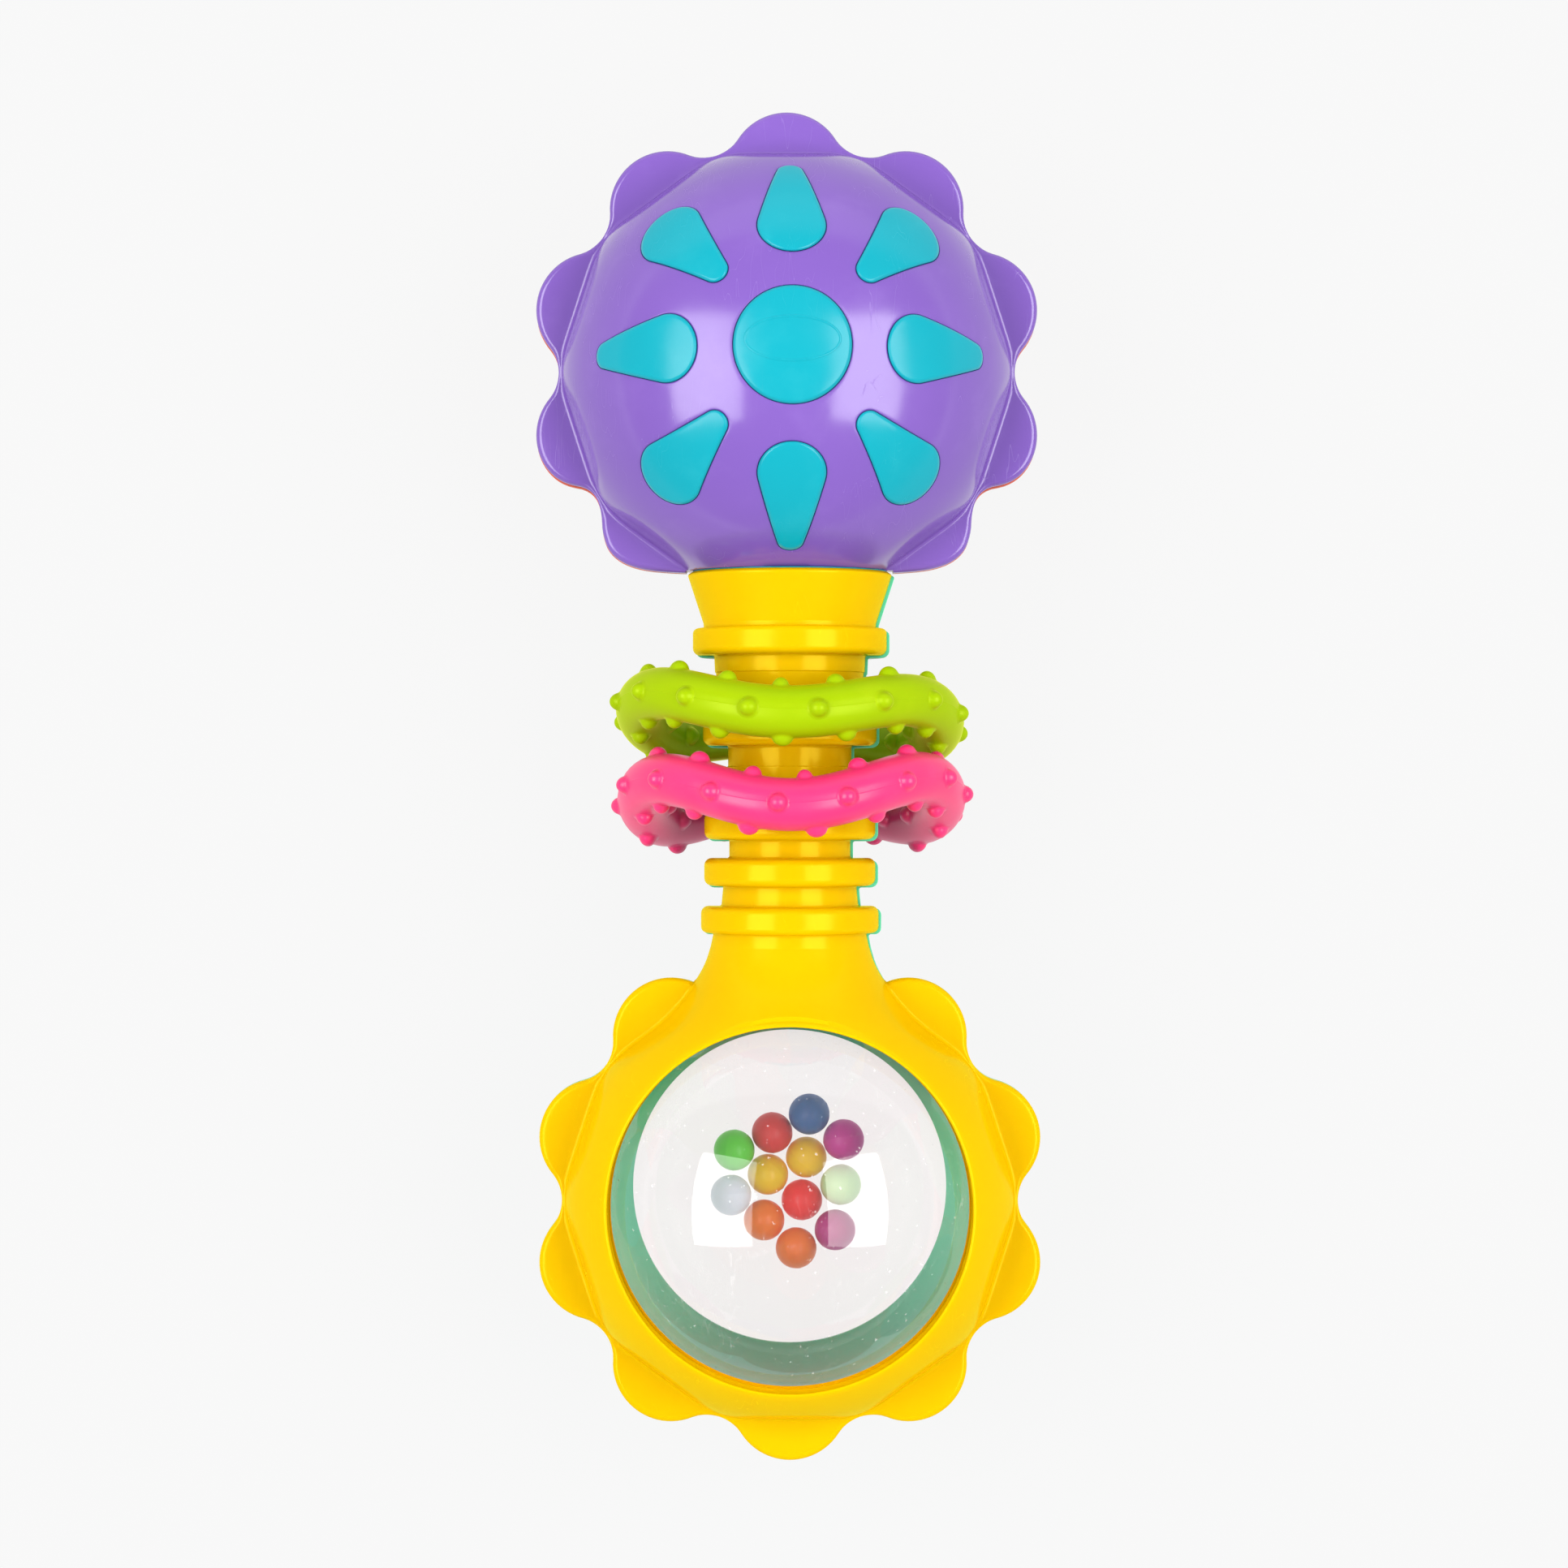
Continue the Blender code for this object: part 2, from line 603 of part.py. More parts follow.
def make_handle():
    yellow = plastic("yellow_plastic", YELLOW)
    mint = plastic("mint_plastic", MINT)
    clear = plastic("clear_plastic", CLEAR, 0.05, 0.0, 1.0)
    steel = plastic("screw_steel", STEEL, 0.3, 1.0)
    handle_shell("handle_front_shell", 1, yellow, FRONT_OPENING)
    handle_shell("handle_rear_shell", -1, mint, REAR_OPENING)
    clear_dome("window_dome_front", 1, clear)
    clear_dome("window_dome_rear", -1, clear)
    for name, y in SCREW_SPOTS.items():
        head = SCREW_HEAD_RADIUS
        shape = turned(
            [(6.6, 0.0), (6.6, 0.5), (5.6, SCREW_RADIUS), (-5.5, SCREW_RADIUS), (-5.5, head), (-6.6, head), (-7.2, head - 0.6), (-7.2, 0.0)],
            10,
        )
        shape.transform(Matrix.Translation((0, y * MM, 0)))
        screw = piece(name, shape, GRIP, steel)
        slot = box(-1.3, 1.3, y - 0.22, y + 0.22, -8.0, -6.4)
        cross = box(-0.22, 0.22, y - 1.3, y + 1.3, -8.0, -6.4)
        cut(screw, tool(f"{name}_slot", slot, GRIP), tool(f"{name}_cross", cross, GRIP))


def settled(spots):
    """Beads in one layer, eased apart until none is nearer than a bead and its gap."""
    at = {name: Vector((x, y)) for name, (x, y, _) in spots.items()}
    reach = BALL_RADIUS - BALL_WALL - BEAD_RADIUS - 2 * CLEARANCE
    apart = 2 * BEAD_RADIUS + CLEARANCE

    def place(p):
        return Vector((p.x, p.y, -math.sqrt(reach**2 - p.x**2 - p.y**2)))

    names = sorted(at)
    for _ in range(200):
        for i, a in enumerate(names):
            for b in names[i + 1 :]:
                between = at[b] - at[a]
                short = apart - (place(at[b]) - place(at[a])).length
                flat = apart - 0.02 - between.length
                push = max(short, flat)
                if push > 0:
                    step = between.normalized() * (push / 2 + 0.001)
                    at[a] -= step
                    at[b] += step
    return {name: place(p) for name, p in at.items()}


def make_beads():
    for name, spot in settled(BEAD_SPOTS).items():
        bm = bmesh.new()
        bmesh.ops.create_icosphere(bm, subdivisions=2, radius=BEAD_RADIUS * MM)
        mat = plastic(f"{name}_plastic", BEAD_SPOTS[name][2], 0.35)
        obj = piece(name, finished(bm), BALL, mat, 60.0)
        obj.location = spot * MM


# ---------------------------------------------------------------- rings


def make_ring(name, centre_x, centre_y, lean, side_lean, wave, first, colour):
    """A tube round the grip that leans and waves three times a turn, with four rows of bumps."""
    around, across = 2 * BUMPS_ROUND, 8
    wide = TUBE_RADIUS / math.cos(math.pi / across) * 0.985
    axis = Vector((-side_lean, RING_RADIUS, -lean)).normalized()
    up = Vector((0, 0, 1))
    top = (up - axis * up.dot(axis)).normalized()
    right = axis.cross(top)

    def spine(t):
        # t = 0 at the top, towards the right
        return (top * math.cos(t) + right * math.sin(t)) * RING_RADIUS - axis * wave * math.cos(3 * t)

    bm = bmesh.new()
    rows = []
    for i in range(around):
        t = 2 * math.pi * (i + 0.5) / around
        here = spine(t)
        along = (spine(t + 0.01) - spine(t - 0.01)).normalized()
        out = (top * math.cos(t) + right * math.sin(t)).normalized()
        out = (out - along * out.dot(along)).normalized()
        cross = along.cross(out)
        row = []
        for j in range(across):
            a = 2 * math.pi * (j + 0.5) / across
            row.append(bm.verts.new((here + out * wide * math.cos(a) + cross * wide * math.sin(a)) * MM))
        rows.append(row)
    bumps = []
    for i in range(around):
        for j in range(across):
            face = bm.faces.new((rows[i][j], rows[i][(j + 1) % across], rows[(i + 1) % around][(j + 1) % across], rows[(i + 1) % around][j]))
            # flats of j face outwards (7), across (1), inwards (3), across (5); alternate rows are staggered
            if (j % 4 == 3 and i % 2 == first) or (j % 4 == 1 and i % 2 != first):
                bumps.append(face)
    bmesh.ops.recalc_face_normals(bm, faces=bm.faces)
    bmesh.ops.inset_individual(bm, faces=bumps, thickness=0.5 * MM, depth=BUMP_HEIGHT * MM, use_even_offset=True)
    rubber = plastic(f"{name}_rubber", colour, 0.4)
    obj = piece(name, finished(bm), empty(f"{name}_axis", centre_x, centre_y, RING_Z), rubber, 30.0)
    return obj


# ---------------------------------------------------------------- build

clear_scene()
PARTS = collection("baby_rattle")
TOOLS = collection("baby_rattle_tools")
TOOLS.hide_render = True

GRIP = empty("grip_axis", 0, 0, MID)
BALL = empty("ball_centre", 0, BALL_Y, MID)
HEAD = empty("head_axis", 0, HEAD_Y, MID)

make_handle()
make_beads()
make_head()
make_ratchet()
for ring, settings in RINGS.items():
    make_ring(ring, *settings)

# Meshes that only led up to a part aren't kept
for block in list(bpy.data.meshes):
    if block.users == 0:
        bpy.data.meshes.remove(block)
for block in list(bpy.data.curves):
    if block.users == 0:
        bpy.data.curves.remove(block)
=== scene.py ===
"""Looks of the baby rattle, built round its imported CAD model. Lengths below are in millimetres."""

import math

import bmesh
import bpy
import numpy as np
from mathutils import Matrix, Vector
from mathutils.geometry import delaunay_2d_cdt


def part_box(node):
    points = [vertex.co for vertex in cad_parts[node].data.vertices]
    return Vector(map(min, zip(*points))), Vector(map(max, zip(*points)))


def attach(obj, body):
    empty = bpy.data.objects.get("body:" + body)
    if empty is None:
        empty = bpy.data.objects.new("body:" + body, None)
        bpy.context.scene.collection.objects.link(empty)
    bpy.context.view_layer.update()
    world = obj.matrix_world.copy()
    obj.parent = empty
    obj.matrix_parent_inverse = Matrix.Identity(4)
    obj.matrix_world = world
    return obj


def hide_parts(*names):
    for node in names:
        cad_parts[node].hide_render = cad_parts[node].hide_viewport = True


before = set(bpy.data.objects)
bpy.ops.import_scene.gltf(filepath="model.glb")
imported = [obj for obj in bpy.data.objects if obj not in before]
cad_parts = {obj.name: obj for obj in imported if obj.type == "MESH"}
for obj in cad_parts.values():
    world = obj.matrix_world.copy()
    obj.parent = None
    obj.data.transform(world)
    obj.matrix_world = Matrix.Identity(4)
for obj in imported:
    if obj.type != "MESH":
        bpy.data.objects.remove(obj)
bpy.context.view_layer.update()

MM = 0.001

# ---------------------------------------------------------------- sizes, the same as the CAD's

MID = 27.2
HEAD_Y, BALL_Y = 55.3, -55.3
LOBES, LOBE_CENTRE, LOBE_RADIUS, VALLEY_RADIUS, RIM_HALF = 10, 27.0, 7.75, 30.4, 2.2
DOME_RADIUS, HEAD_HEIGHT, BALL_BODY_HEIGHT = 30.0, 26.8, 27.2
FACET_AT_RIM, FACET_SLOPE = 29.1, 0.1625
HEAD_WALL, HEAD_END = 2.2, -26.93
BALL_RADIUS, BALL_WALL, SOCKET = 27.2, 1.6, 27.5
FRONT_OPENING, REAR_OPENING = 23.8, 21.6
BEARING_RADIUS = 7.4
DISC_RADIUS = 7.6
CARDINAL_DROP = ((32.5, 8.5), (53.8, 3.2))
DIAGONAL_DROP = ((27.7, 3.3), (47.7, 8.7))
BOSS_PROUD = 0.4
BOSS_GAP = 0.05  # line round a boss
BOSS_LEAN = (2.35, 1.45)  # degrees that the bosses sit over towards the head's tip and to the right
RING_RADIUS, TUBE_RADIUS, RING_Z = 19.95, 3.45, 24.4
SEAM = 0.06  # half of the line between the shells
SEAT = 0.52  # depth of the round seat for the neck's rim
COLUMNS = 360
CAP = 26.6  # radius where the head's pierced cap meets its rim

# The rear mouldings sit a little low and to the right of the front ones
REAR_HANDLE_SHIFT = (0.36, -0.28)
REAR_HEAD_SHIFT = (-0.02, -0.2)
HEAD_AT = (-0.42, HEAD_Y - 0.27)

# ---------------------------------------------------------------- mesh helpers


class Shape:
    """Points and faces gathered from several patches."""

    def __init__(self):
        self.points = []
        self.faces = []

    def add(self, points):
        start = len(self.points)
        self.points.extend([tuple(p) for p in points])
        return list(range(start, start + len(points)))

    def band(self, a, b, closed=True):
        n = len(a)
        for i in range(n if closed else n - 1):
            j = (i + 1) % n
            self.faces.append((a[i], a[j], b[j], b[i]))

    def mesh(self, name, weld=0.004):
        mesh = bpy.data.meshes.new(name)
        mesh.from_pydata([(x * MM, y * MM, z * MM) for x, y, z in self.points], [], self.faces)
        bm = bmesh.new()
        bm.from_mesh(mesh)
        bmesh.ops.remove_doubles(bm, verts=bm.verts, dist=weld * MM)
        bmesh.ops.recalc_face_normals(bm, faces=bm.faces)
        bm.to_mesh(mesh)
        bm.free()
        return mesh


def moved(mesh, x=0.0, y=0.0, z=0.0):
    mesh.transform(Matrix.Translation(Vector((x, y, z)) * MM))
    return mesh


def mirrored(mesh):
    """The same shape on the other side of the parting plane, for a mesh still about z = 0."""
    copy = mesh.copy()
    copy.transform(Matrix.Scale(-1.0, 4, (0, 0, 1)))
    copy.flip_normals()
    return copy


def show(name, mesh, material, body, slot, *nodes, angle=32.0):
    """A finished piece: smooth, with its material, on its body, in place of its CAD nodes."""
    obj = bpy.data.objects.new(name, mesh)
    bpy.context.scene.collection.objects.link(obj)
    mesh.materials.clear()
    mesh.materials.append(material)
    mesh.shade_smooth()
    mesh.set_sharp_from_angle(angle=math.radians(angle))
    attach(obj, body)
    if nodes:
        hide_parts(*nodes)
    return obj


def drilled(mesh, *cutters):
    """The mesh with holes cut by closed meshes."""
    obj = bpy.data.objects.new("drilled", mesh)
    bpy.context.scene.collection.objects.link(obj)
    helpers = []
    for cutter in cutters:
        helper = bpy.data.objects.new("cutter", cutter)
        bpy.context.scene.collection.objects.link(helper)
        helpers.append(helper)
        modifier = obj.modifiers.new("drill", "BOOLEAN")
        modifier.operation = "DIFFERENCE"
        modifier.solver = "EXACT"
        modifier.object = helper
    bpy.context.view_layer.update()
    graph = bpy.context.evaluated_depsgraph_get()
    result = bpy.data.meshes.new_from_object(obj.evaluated_get(graph))
    for helper in [obj, *helpers]:
        bpy.data.objects.remove(helper, do_unlink=True)
    return result


def rod(radius, low, high, axis="Z", steps=64):
    bm = bmesh.new()
    bmesh.ops.create_cone(bm, cap_ends=True, segments=steps, radius1=radius * MM, radius2=radius * MM, depth=(high - low) * MM)
    bmesh.ops.translate(bm, vec=Vector((0, 0, (high + low) / 2)) * MM, verts=bm.verts)
    mesh = bpy.data.meshes.new("rod")
    bm.to_mesh(mesh)
    bm.free()
    if axis == "Y":
        mesh.transform(Matrix.Rotation(math.radians(-90), 4, "X"))
    return mesh


def filleted(corners, steps=5, run=0.9):
    """A smooth profile from corners (along, out, radius): arcs at the corners and points between."""
    points = []
    n = len(corners)
    cuts = []
    for i, (a, r, radius) in enumerate(corners):
        if i in (0, n - 1) or radius <= 0:
            cuts.append(None)
            continue
        p = np.array([a, r])
        before = np.array(corners[i - 1][:2]) - p
        after = np.array(corners[i + 1][:2]) - p
        lb, la = np.linalg.norm(before), np.linalg.norm(after)
        u, v = before / lb, after / la
        turn = math.acos(max(-1.0, min(1.0, float(u @ v))))
        if math.pi - turn < 1e-3:
            cuts.append(None)
            continue
        reach = min(radius / math.tan(turn / 2), 0.48 * lb, 0.48 * la)
        real = reach * math.tan(turn / 2)
        centre = p + (u + v) / np.linalg.norm(u + v) * (real / math.sin(turn / 2))
        start, end = p + u * reach, p + v * reach
        a0 = math.atan2(*(start - centre)[::-1])
        a1 = math.atan2(*(end - centre)[::-1])
        while a1 - a0 > math.pi:
            a1 -= 2 * math.pi
        while a1 - a0 < -math.pi:
            a1 += 2 * math.pi
        cuts.append([centre + real * np.array([math.cos(t), math.sin(t)]) for t in np.linspace(a0, a1, steps + 1)])
    for i, (a, r, _) in enumerate(corners):
        here = cuts[i] if cuts[i] is not None else [np.array([a, r])]
        if points:
            start, end = points[-1], here[0]
            length = float(np.linalg.norm(end - start))
            if length > 0.3:
                count = max(1, int(length / run))
                inner = [0.07 / length] + [k / count for k in range(1, count)] + [1 - 0.07 / length]
                points += [start + (end - start) * t for t in inner]
        points += here
    clean = [points[0]]
    for p in points[1:]:
        if np.linalg.norm(p - clean[-1]) > 1e-4:
            clean.append(p)
    return [(float(a), float(r)) for a, r in clean]


def lathe(profile, steps=96, axis="Z", closed=True):
    """A solid of revolution of a profile of (along, out), joined end to end if closed."""
    shape = Shape()
    rings = []
    for along, out in profile:
        ring = []
        for i in range(steps):
            t = 2 * math.pi * i / steps
            if axis == "Y":
                ring.append((out * math.sin(t), along, out * math.cos(t)))
            else:
                ring.append((out * math.cos(t), out * math.sin(t), along))
        rings.append(shape.add(ring))
    for a, b in zip(rings, rings[1:]):
        shape.band(a, b)
    if closed:
        shape.band(rings[-1], rings[0])
    return shape.mesh("lathe", 1e-4)


def soft_min(a, b, k):
    h = np.clip(0.5 + 0.5 * (b - a) / k, 0.0, 1.0)
    return b * (1 - h) + a * h - k * h * (1 - h)


def soft_max(a, b, k):
    return -soft_min(-a, -b, k)


# ---------------------------------------------------------------- outlines


def off_tip(turn):
    """Angle in degrees from the nearest lobe's tip; tips lie at 18 degrees and every 36 from there."""
    return np.abs(np.mod(turn, 36.0) - 18.0)


def rim_radius(turn):
    off = off_tip(turn)
    half = math.radians(18.0)
    fillet = (LOBE_CENTRE**2 + VALLEY_RADIUS**2 - 2 * LOBE_CENTRE * VALLEY_RADIUS * math.cos(half) - LOBE_RADIUS**2) / (
        2 * (LOBE_RADIUS - VALLEY_RADIUS + LOBE_CENTRE * math.cos(half))
    )
    far = VALLEY_RADIUS + fillet
    hollow = np.array([far * math.cos(half), far * math.sin(half)])
    centre = np.array([LOBE_CENTRE, 0.0])
    touch = centre + (hollow - centre) * (LOBE_RADIUS / (LOBE_RADIUS + fillet))
    limit = math.degrees(math.atan2(touch[1], touch[0]))
    a = np.radians(off)
    lobe = LOBE_CENTRE * np.cos(a) + np.sqrt(np.maximum(LOBE_RADIUS**2 - (LOBE_CENTRE * np.sin(a)) ** 2, 0.0))
    b = half - a
    valley = far * np.cos(b) - np.sqrt(np.maximum(fillet**2 - (far * np.sin(b)) ** 2, 0.0))
    return np.where(off <= limit, lobe, valley)


def drop_outline(circles, spread, turn):
    """A teardrop on the dome, seen from above: two circles, (angle from the axis, radius) in degrees."""
    (u1, r1), (u2, r2) = circles
    grow = math.degrees(spread / DOME_RADIUS)
    r1, r2 = r1 + grow, r2 + grow
    lean = math.degrees(math.asin((r1 - r2) / (u2 - u1)))
    n1, n2 = (34, 16) if circles[0][1] > circles[1][1] else (16, 34)
    first = [
        (u2 + r2 * math.cos(math.radians(a)), r2 * math.sin(math.radians(a)))
        for a in np.linspace(90 - lean, -(90 - lean), n2)
    ]
    second = [
        (u1 + r1 * math.cos(math.radians(a)), r1 * math.sin(math.radians(a)))
        for a in np.linspace(-(90 - lean), -(90 - lean) - 2 * (90 + lean), n1)
    ]
    straight = 20
    flat = list(first)
    for t in np.linspace(0, 1, straight + 2)[1:-1]:
        flat.append((first[-1][0] * (1 - t) + second[0][0] * t, first[-1][1] * (1 - t) + second[0][1] * t))
    flat += second
    for t in np.linspace(0, 1, straight + 2)[1:-1]:
        flat.append((second[-1][0] * (1 - t) + first[0][0] * t, second[-1][1] * (1 - t) + first[0][1] * t))
    flat = np.radians(np.array(flat))
    x = DOME_RADIUS * np.sin(flat[:, 0]) * np.cos(flat[:, 1])
    y = DOME_RADIUS * np.sin(flat[:, 1])
    c, s = math.cos(math.radians(turn)), math.sin(math.radians(turn))
    return np.stack([x * c - y * s, x * s + y * c], axis=1)


def disc_outline(spread):
    t = np.linspace(0, 2 * math.pi, 121)[:-1]
    return np.stack([(DISC_RADIUS + spread) * np.cos(t), (DISC_RADIUS + spread) * np.sin(t)], axis=1)


def leant(p):
    """Plan points carried round the dome by the bosses' lean."""
    z = np.sqrt(np.maximum(DOME_RADIUS**2 - (p**2).sum(axis=1), 0.0))
    a, b = math.radians(BOSS_LEAN[0]), math.radians(BOSS_LEAN[1])
    y = p[:, 1] * math.cos(a) + z * math.sin(a)
    z = z * math.cos(a) - p[:, 1] * math.sin(a)
    return np.stack([p[:, 0] * math.cos(b) + z * math.sin(b), y], axis=1)


def boss_outlines(spread):
    shapes = [drop_outline(CARDINAL_DROP, spread, 90 * k) for k in range(4)]
    shapes += [drop_outline(DIAGONAL_DROP, spread, 90 * k + 45) for k in range(4)]
    return [leant(p) for p in (*shapes, disc_outline(spread))]


def within(points, loop):
    """Which points lie inside a closed outline."""
    x, y = points[:, 0][:, None], points[:, 1][:, None]
    x0, y0 = loop[:, 0][None], loop[:, 1][None]
    x1, y1 = np.roll(loop[:, 0], -1)[None], np.roll(loop[:, 1], -1)[None]
    spans = (y0 > y) != (y1 > y)
    with np.errstate(divide="ignore", invalid="ignore"):
        cross = x0 + (y - y0) * (x1 - x0) / np.where(y1 == y0, 1e-12, y1 - y0)
    return (np.sum(spans & (x < cross), axis=1) % 2) == 1


def filled(outer, holes, spacing, clear):
    """Plan points and triangles of the area inside outer and outside holes. The loops' points come first."""
    loops = [outer, *holes]
    edges, starts, start = [], [], 0
    for loop in loops:
        n = len(loop)
        edges += [(start + i, start + (i + 1) % n) for i in range(n)]
        starts.append(start)
        start += n
    fixed = np.concatenate(loops)
    low, high = outer.min(axis=0), outer.max(axis=0)
    row = spacing * math.sqrt(3) / 2
    grid = []
    for j in range(int((high[1] - low[1]) / row) + 2):
        for i in range(int((high[0] - low[0]) / spacing) + 2):
            grid.append((low[0] + (i + 0.5 * (j % 2)) * spacing, low[1] + j * row))
    grid = np.array(grid)
    good = within(grid, outer)
    for hole in holes:
        good &= ~within(grid, hole)
    grid = grid[good]
    near = np.full(len(grid), 1e9)
    for k in range(0, len(fixed), 256):
        part = fixed[k : k + 256]
        near = np.minimum(near, np.min((grid[:, None, 0] - part[None, :, 0]) ** 2 + (grid[:, None, 1] - part[None, :, 1]) ** 2, axis=1))
    grid = grid[near > clear**2]
    points = np.concatenate([fixed, grid])
    result = delaunay_2d_cdt([Vector(p) for p in points.tolist()], edges, [], 0, 1e-6)
    verts, faces, origin = result[0], result[2], result[3]
    index = [o[0] if o else -1 for o in origin]
    xy = np.array([tuple(v) for v in verts])
    triangles = np.array([f for f in faces if len(f) == 3])
    middle = xy[triangles].mean(axis=1)
    good = within(middle, outer)
    for hole in holes:
        good &= ~within(middle, hole)
    lookup = np.array(index)
    triangles = lookup[triangles[good]]
    triangles = triangles[(triangles >= 0).all(axis=1)]
    return points, triangles.tolist(), starts


def ellipse_height(r2, radius, height):
    return height * np.sqrt(np.maximum(1 - r2 / radius**2, 0.0))


# ---------------------------------------------------------------- head


def body_radius(z, turn, height, k=0.55):
    """Distance from the axis of a domed end's wall, cut by its ten leaning facets."""
    ell = DOME_RADIUS * np.sqrt(np.maximum(1 - (z / height) ** 2, 0.0))
    facet = (FACET_AT_RIM - FACET_SLOPE * (z - RIM_HALF)) / np.cos(np.radians(off_tip(turn)))
    return soft_min(ell, facet, k)


def petal_rows(turn, inside, at_height, flat_rows=5, edge_rows=6, crease_rows=4, rim=None):
    """Rows (r, z) from the foot of the wall over a petal's flat face and round its edge to the seam."""
    if rim is None:
        rim = rim_radius(turn)
    width = np.maximum(rim - inside, 0.0)
    outer = inside + width
    crease = np.minimum(0.5, 0.35 * width)
    edge = np.minimum(0.85, 0.46 * width)
    rows = []
    top = at_height(RIM_HALF + crease)
    for t in np.linspace(0, 1, crease_rows + 1)[1:]:
        r = (1 - t) ** 2 * top + 2 * t * (1 - t) * inside + t**2 * (inside + crease)
        z = (1 - t) ** 2 * (RIM_HALF + crease) + (1 - (1 - t) ** 2) * RIM_HALF
        rows.append((r, z))
    for t in np.linspace(0, 1, flat_rows + 1)[1:]:
        rows.append((inside + crease + (outer - edge - inside - crease) * t, np.full_like(rim, RIM_HALF)))
    for a in np.linspace(0, math.pi / 2, edge_rows + 1)[1:]:
        rows.append((outer - edge + edge * math.sin(a), RIM_HALF - edge + edge * math.cos(a)))
    rows.append((outer, np.full_like(rim, SEAM + 0.12)))
    rows.append((outer - 0.12, np.full_like(rim, SEAM)))
    spread = 1 - np.clip(width / 0.6, 0, 1) ** 2 * (3 - 2 * np.clip(width / 0.6, 0, 1))
    total = len(rows)
    for j, (r, z) in enumerate(rows[:-2]):
        even = RIM_HALF - (RIM_HALF - SEAM - 0.12) * (j + 1) / (total - 1)
        rows[j] = (r, z * (1 - spread) + even * spread)
    return crease, rows


def head_mesh(end, across):
    """Half of the head about its own centre: a pierced dome, facets and petals, with a flat end.

    Its bore and seat lie on the handle's axis, at x = across.
    """
    shape = Shape()
    turn = np.arange(COLUMNS) * 360.0 / COLUMNS
    c, s = np.cos(np.radians(turn)), np.sin(np.radians(turn))
    rows = [(np.full(COLUMNS, CAP), np.full(COLUMNS, float(ellipse_height(CAP**2, DOME_RADIUS, HEAD_HEIGHT))))]
    inside = body_radius(RIM_HALF, turn, HEAD_HEIGHT)
    # The two lowest petals round off into the flat end
    below = np.where(s < -0.25, -end / np.maximum(-s, 0.25), 90.0)
    bent = turn + 3.3 * np.exp(-(((turn - 216.0) / 9.0) ** 2)) - 3.3 * np.exp(-(((turn - 324.0) / 9.0) ** 2))
    rim = np.where(np.abs(turn - 270.0) < 36.0, LOBE_CENTRE + LOBE_RADIUS, rim_radius(bent))
    rim = soft_min(rim, below, 6.0)
    crease, petal = petal_rows(turn, inside, lambda z: body_radius(z, turn, HEAD_HEIGHT), rim=rim)
    low = RIM_HALF + crease
    for t in np.linspace(0, 1, 33)[1:]:
        z = rows[0][1] * (1 - t) + low * t
        rows.append((body_radius(z, turn, HEAD_HEIGHT), z))
    rows += petal
    inner, tall = DOME_RADIUS - HEAD_WALL, HEAD_HEIGHT - HEAD_WALL
    top = float(ellipse_height(CAP**2, inner, tall))
    first_inner = len(rows)
    for t in np.linspace(0, 1, 9):
        z = SEAM + (top - SEAM) * math.sin(t * math.pi / 2)
        rows.append((np.full(COLUMNS, CAP if t == 1 else inner * math.sqrt(1 - (z / tall) ** 2)), np.full(COLUMNS, z)))
    rings = []
    for k, (r, z) in enumerate(rows):
        x, y = r * c, r * s
        if k < first_inner:
            y = -soft_min(-y, np.full_like(y, -end), 0.7)
        else:
            y = np.maximum(y, end + HEAD_WALL)
        rings.append(shape.add(np.stack([x, y, z], axis=1)))
    for a, b in zip(rings, rings[1:]):
        shape.band(a, b)

    # The pierced cap, outside and inside, with rounded edges round the holes
    def outside(p, drop=0.0):
        z = ellipse_height((p**2).sum(axis=1), DOME_RADIUS, HEAD_HEIGHT) - drop
        y = -soft_min(-p[:, 1], np.full(len(p), -end), 0.7)
        return np.stack([p[:, 0], y, z], axis=1)

    def within_wall(p):
        z = ellipse_height((p**2).sum(axis=1), inner, tall)
        return np.stack([p[:, 0], np.maximum(p[:, 1], end + HEAD_WALL), z], axis=1)

    circle = np.stack([CAP * c, CAP * s], axis=1)
    wide = boss_outlines(BOSS_GAP + 0.2 + 0.4)
    points, triangles, starts = filled(circle, wide, 0.8, 0.42)
    skin = rings[0] + shape.add(outside(points[COLUMNS:]))
    shape.faces += [tuple(skin[i] for i in f) for f in triangles]
    edges = [[skin[s0 + i] for i in range(len(loop))] for s0, loop in zip(starts[1:], wide)]
    for t in np.linspace(90, 0, 6):
        spread = BOSS_GAP + 0.2 * (1 - math.cos(math.radians(t)))
        drop = 0.2 * (1 - math.sin(math.radians(t)))
        for k, loop in enumerate(boss_outlines(spread)):
            ring = shape.add(outside(loop, drop))
            shape.band(edges[k], ring)
            edges[k] = ring
    narrow = boss_outlines(BOSS_GAP)
    points, triangles, starts = filled(circle, narrow, 1.6, 0.8)
    skin = rings[-1] + shape.add(within_wall(points[COLUMNS:]))
    shape.faces += [tuple(skin[i] for i in f) for f in triangles]
    for k, (s0, loop) in enumerate(zip(starts[1:], narrow)):
        shape.band(edges[k], [skin[s0 + i] for i in range(len(loop))])

    mesh = shape.mesh("head_half", 0.002)
    bm = bmesh.new()
    bm.from_mesh(mesh)
    bmesh.ops.bisect_plane(
        bm,
        geom=[*bm.verts, *bm.edges, *bm.faces],
        plane_co=(0, (end + 0.004) * MM, 0),
        plane_no=(0, -1, 0),
        clear_outer=True,
        dist=1e-8,
    )
    rim = [e for e in bm.edges if e.is_boundary]
    bmesh.ops.holes_fill(bm, edges=rim, sides=0)
    bmesh.ops.recalc_face_normals(bm, faces=bm.faces)
    bm.to_mesh(mesh)
    bm.free()
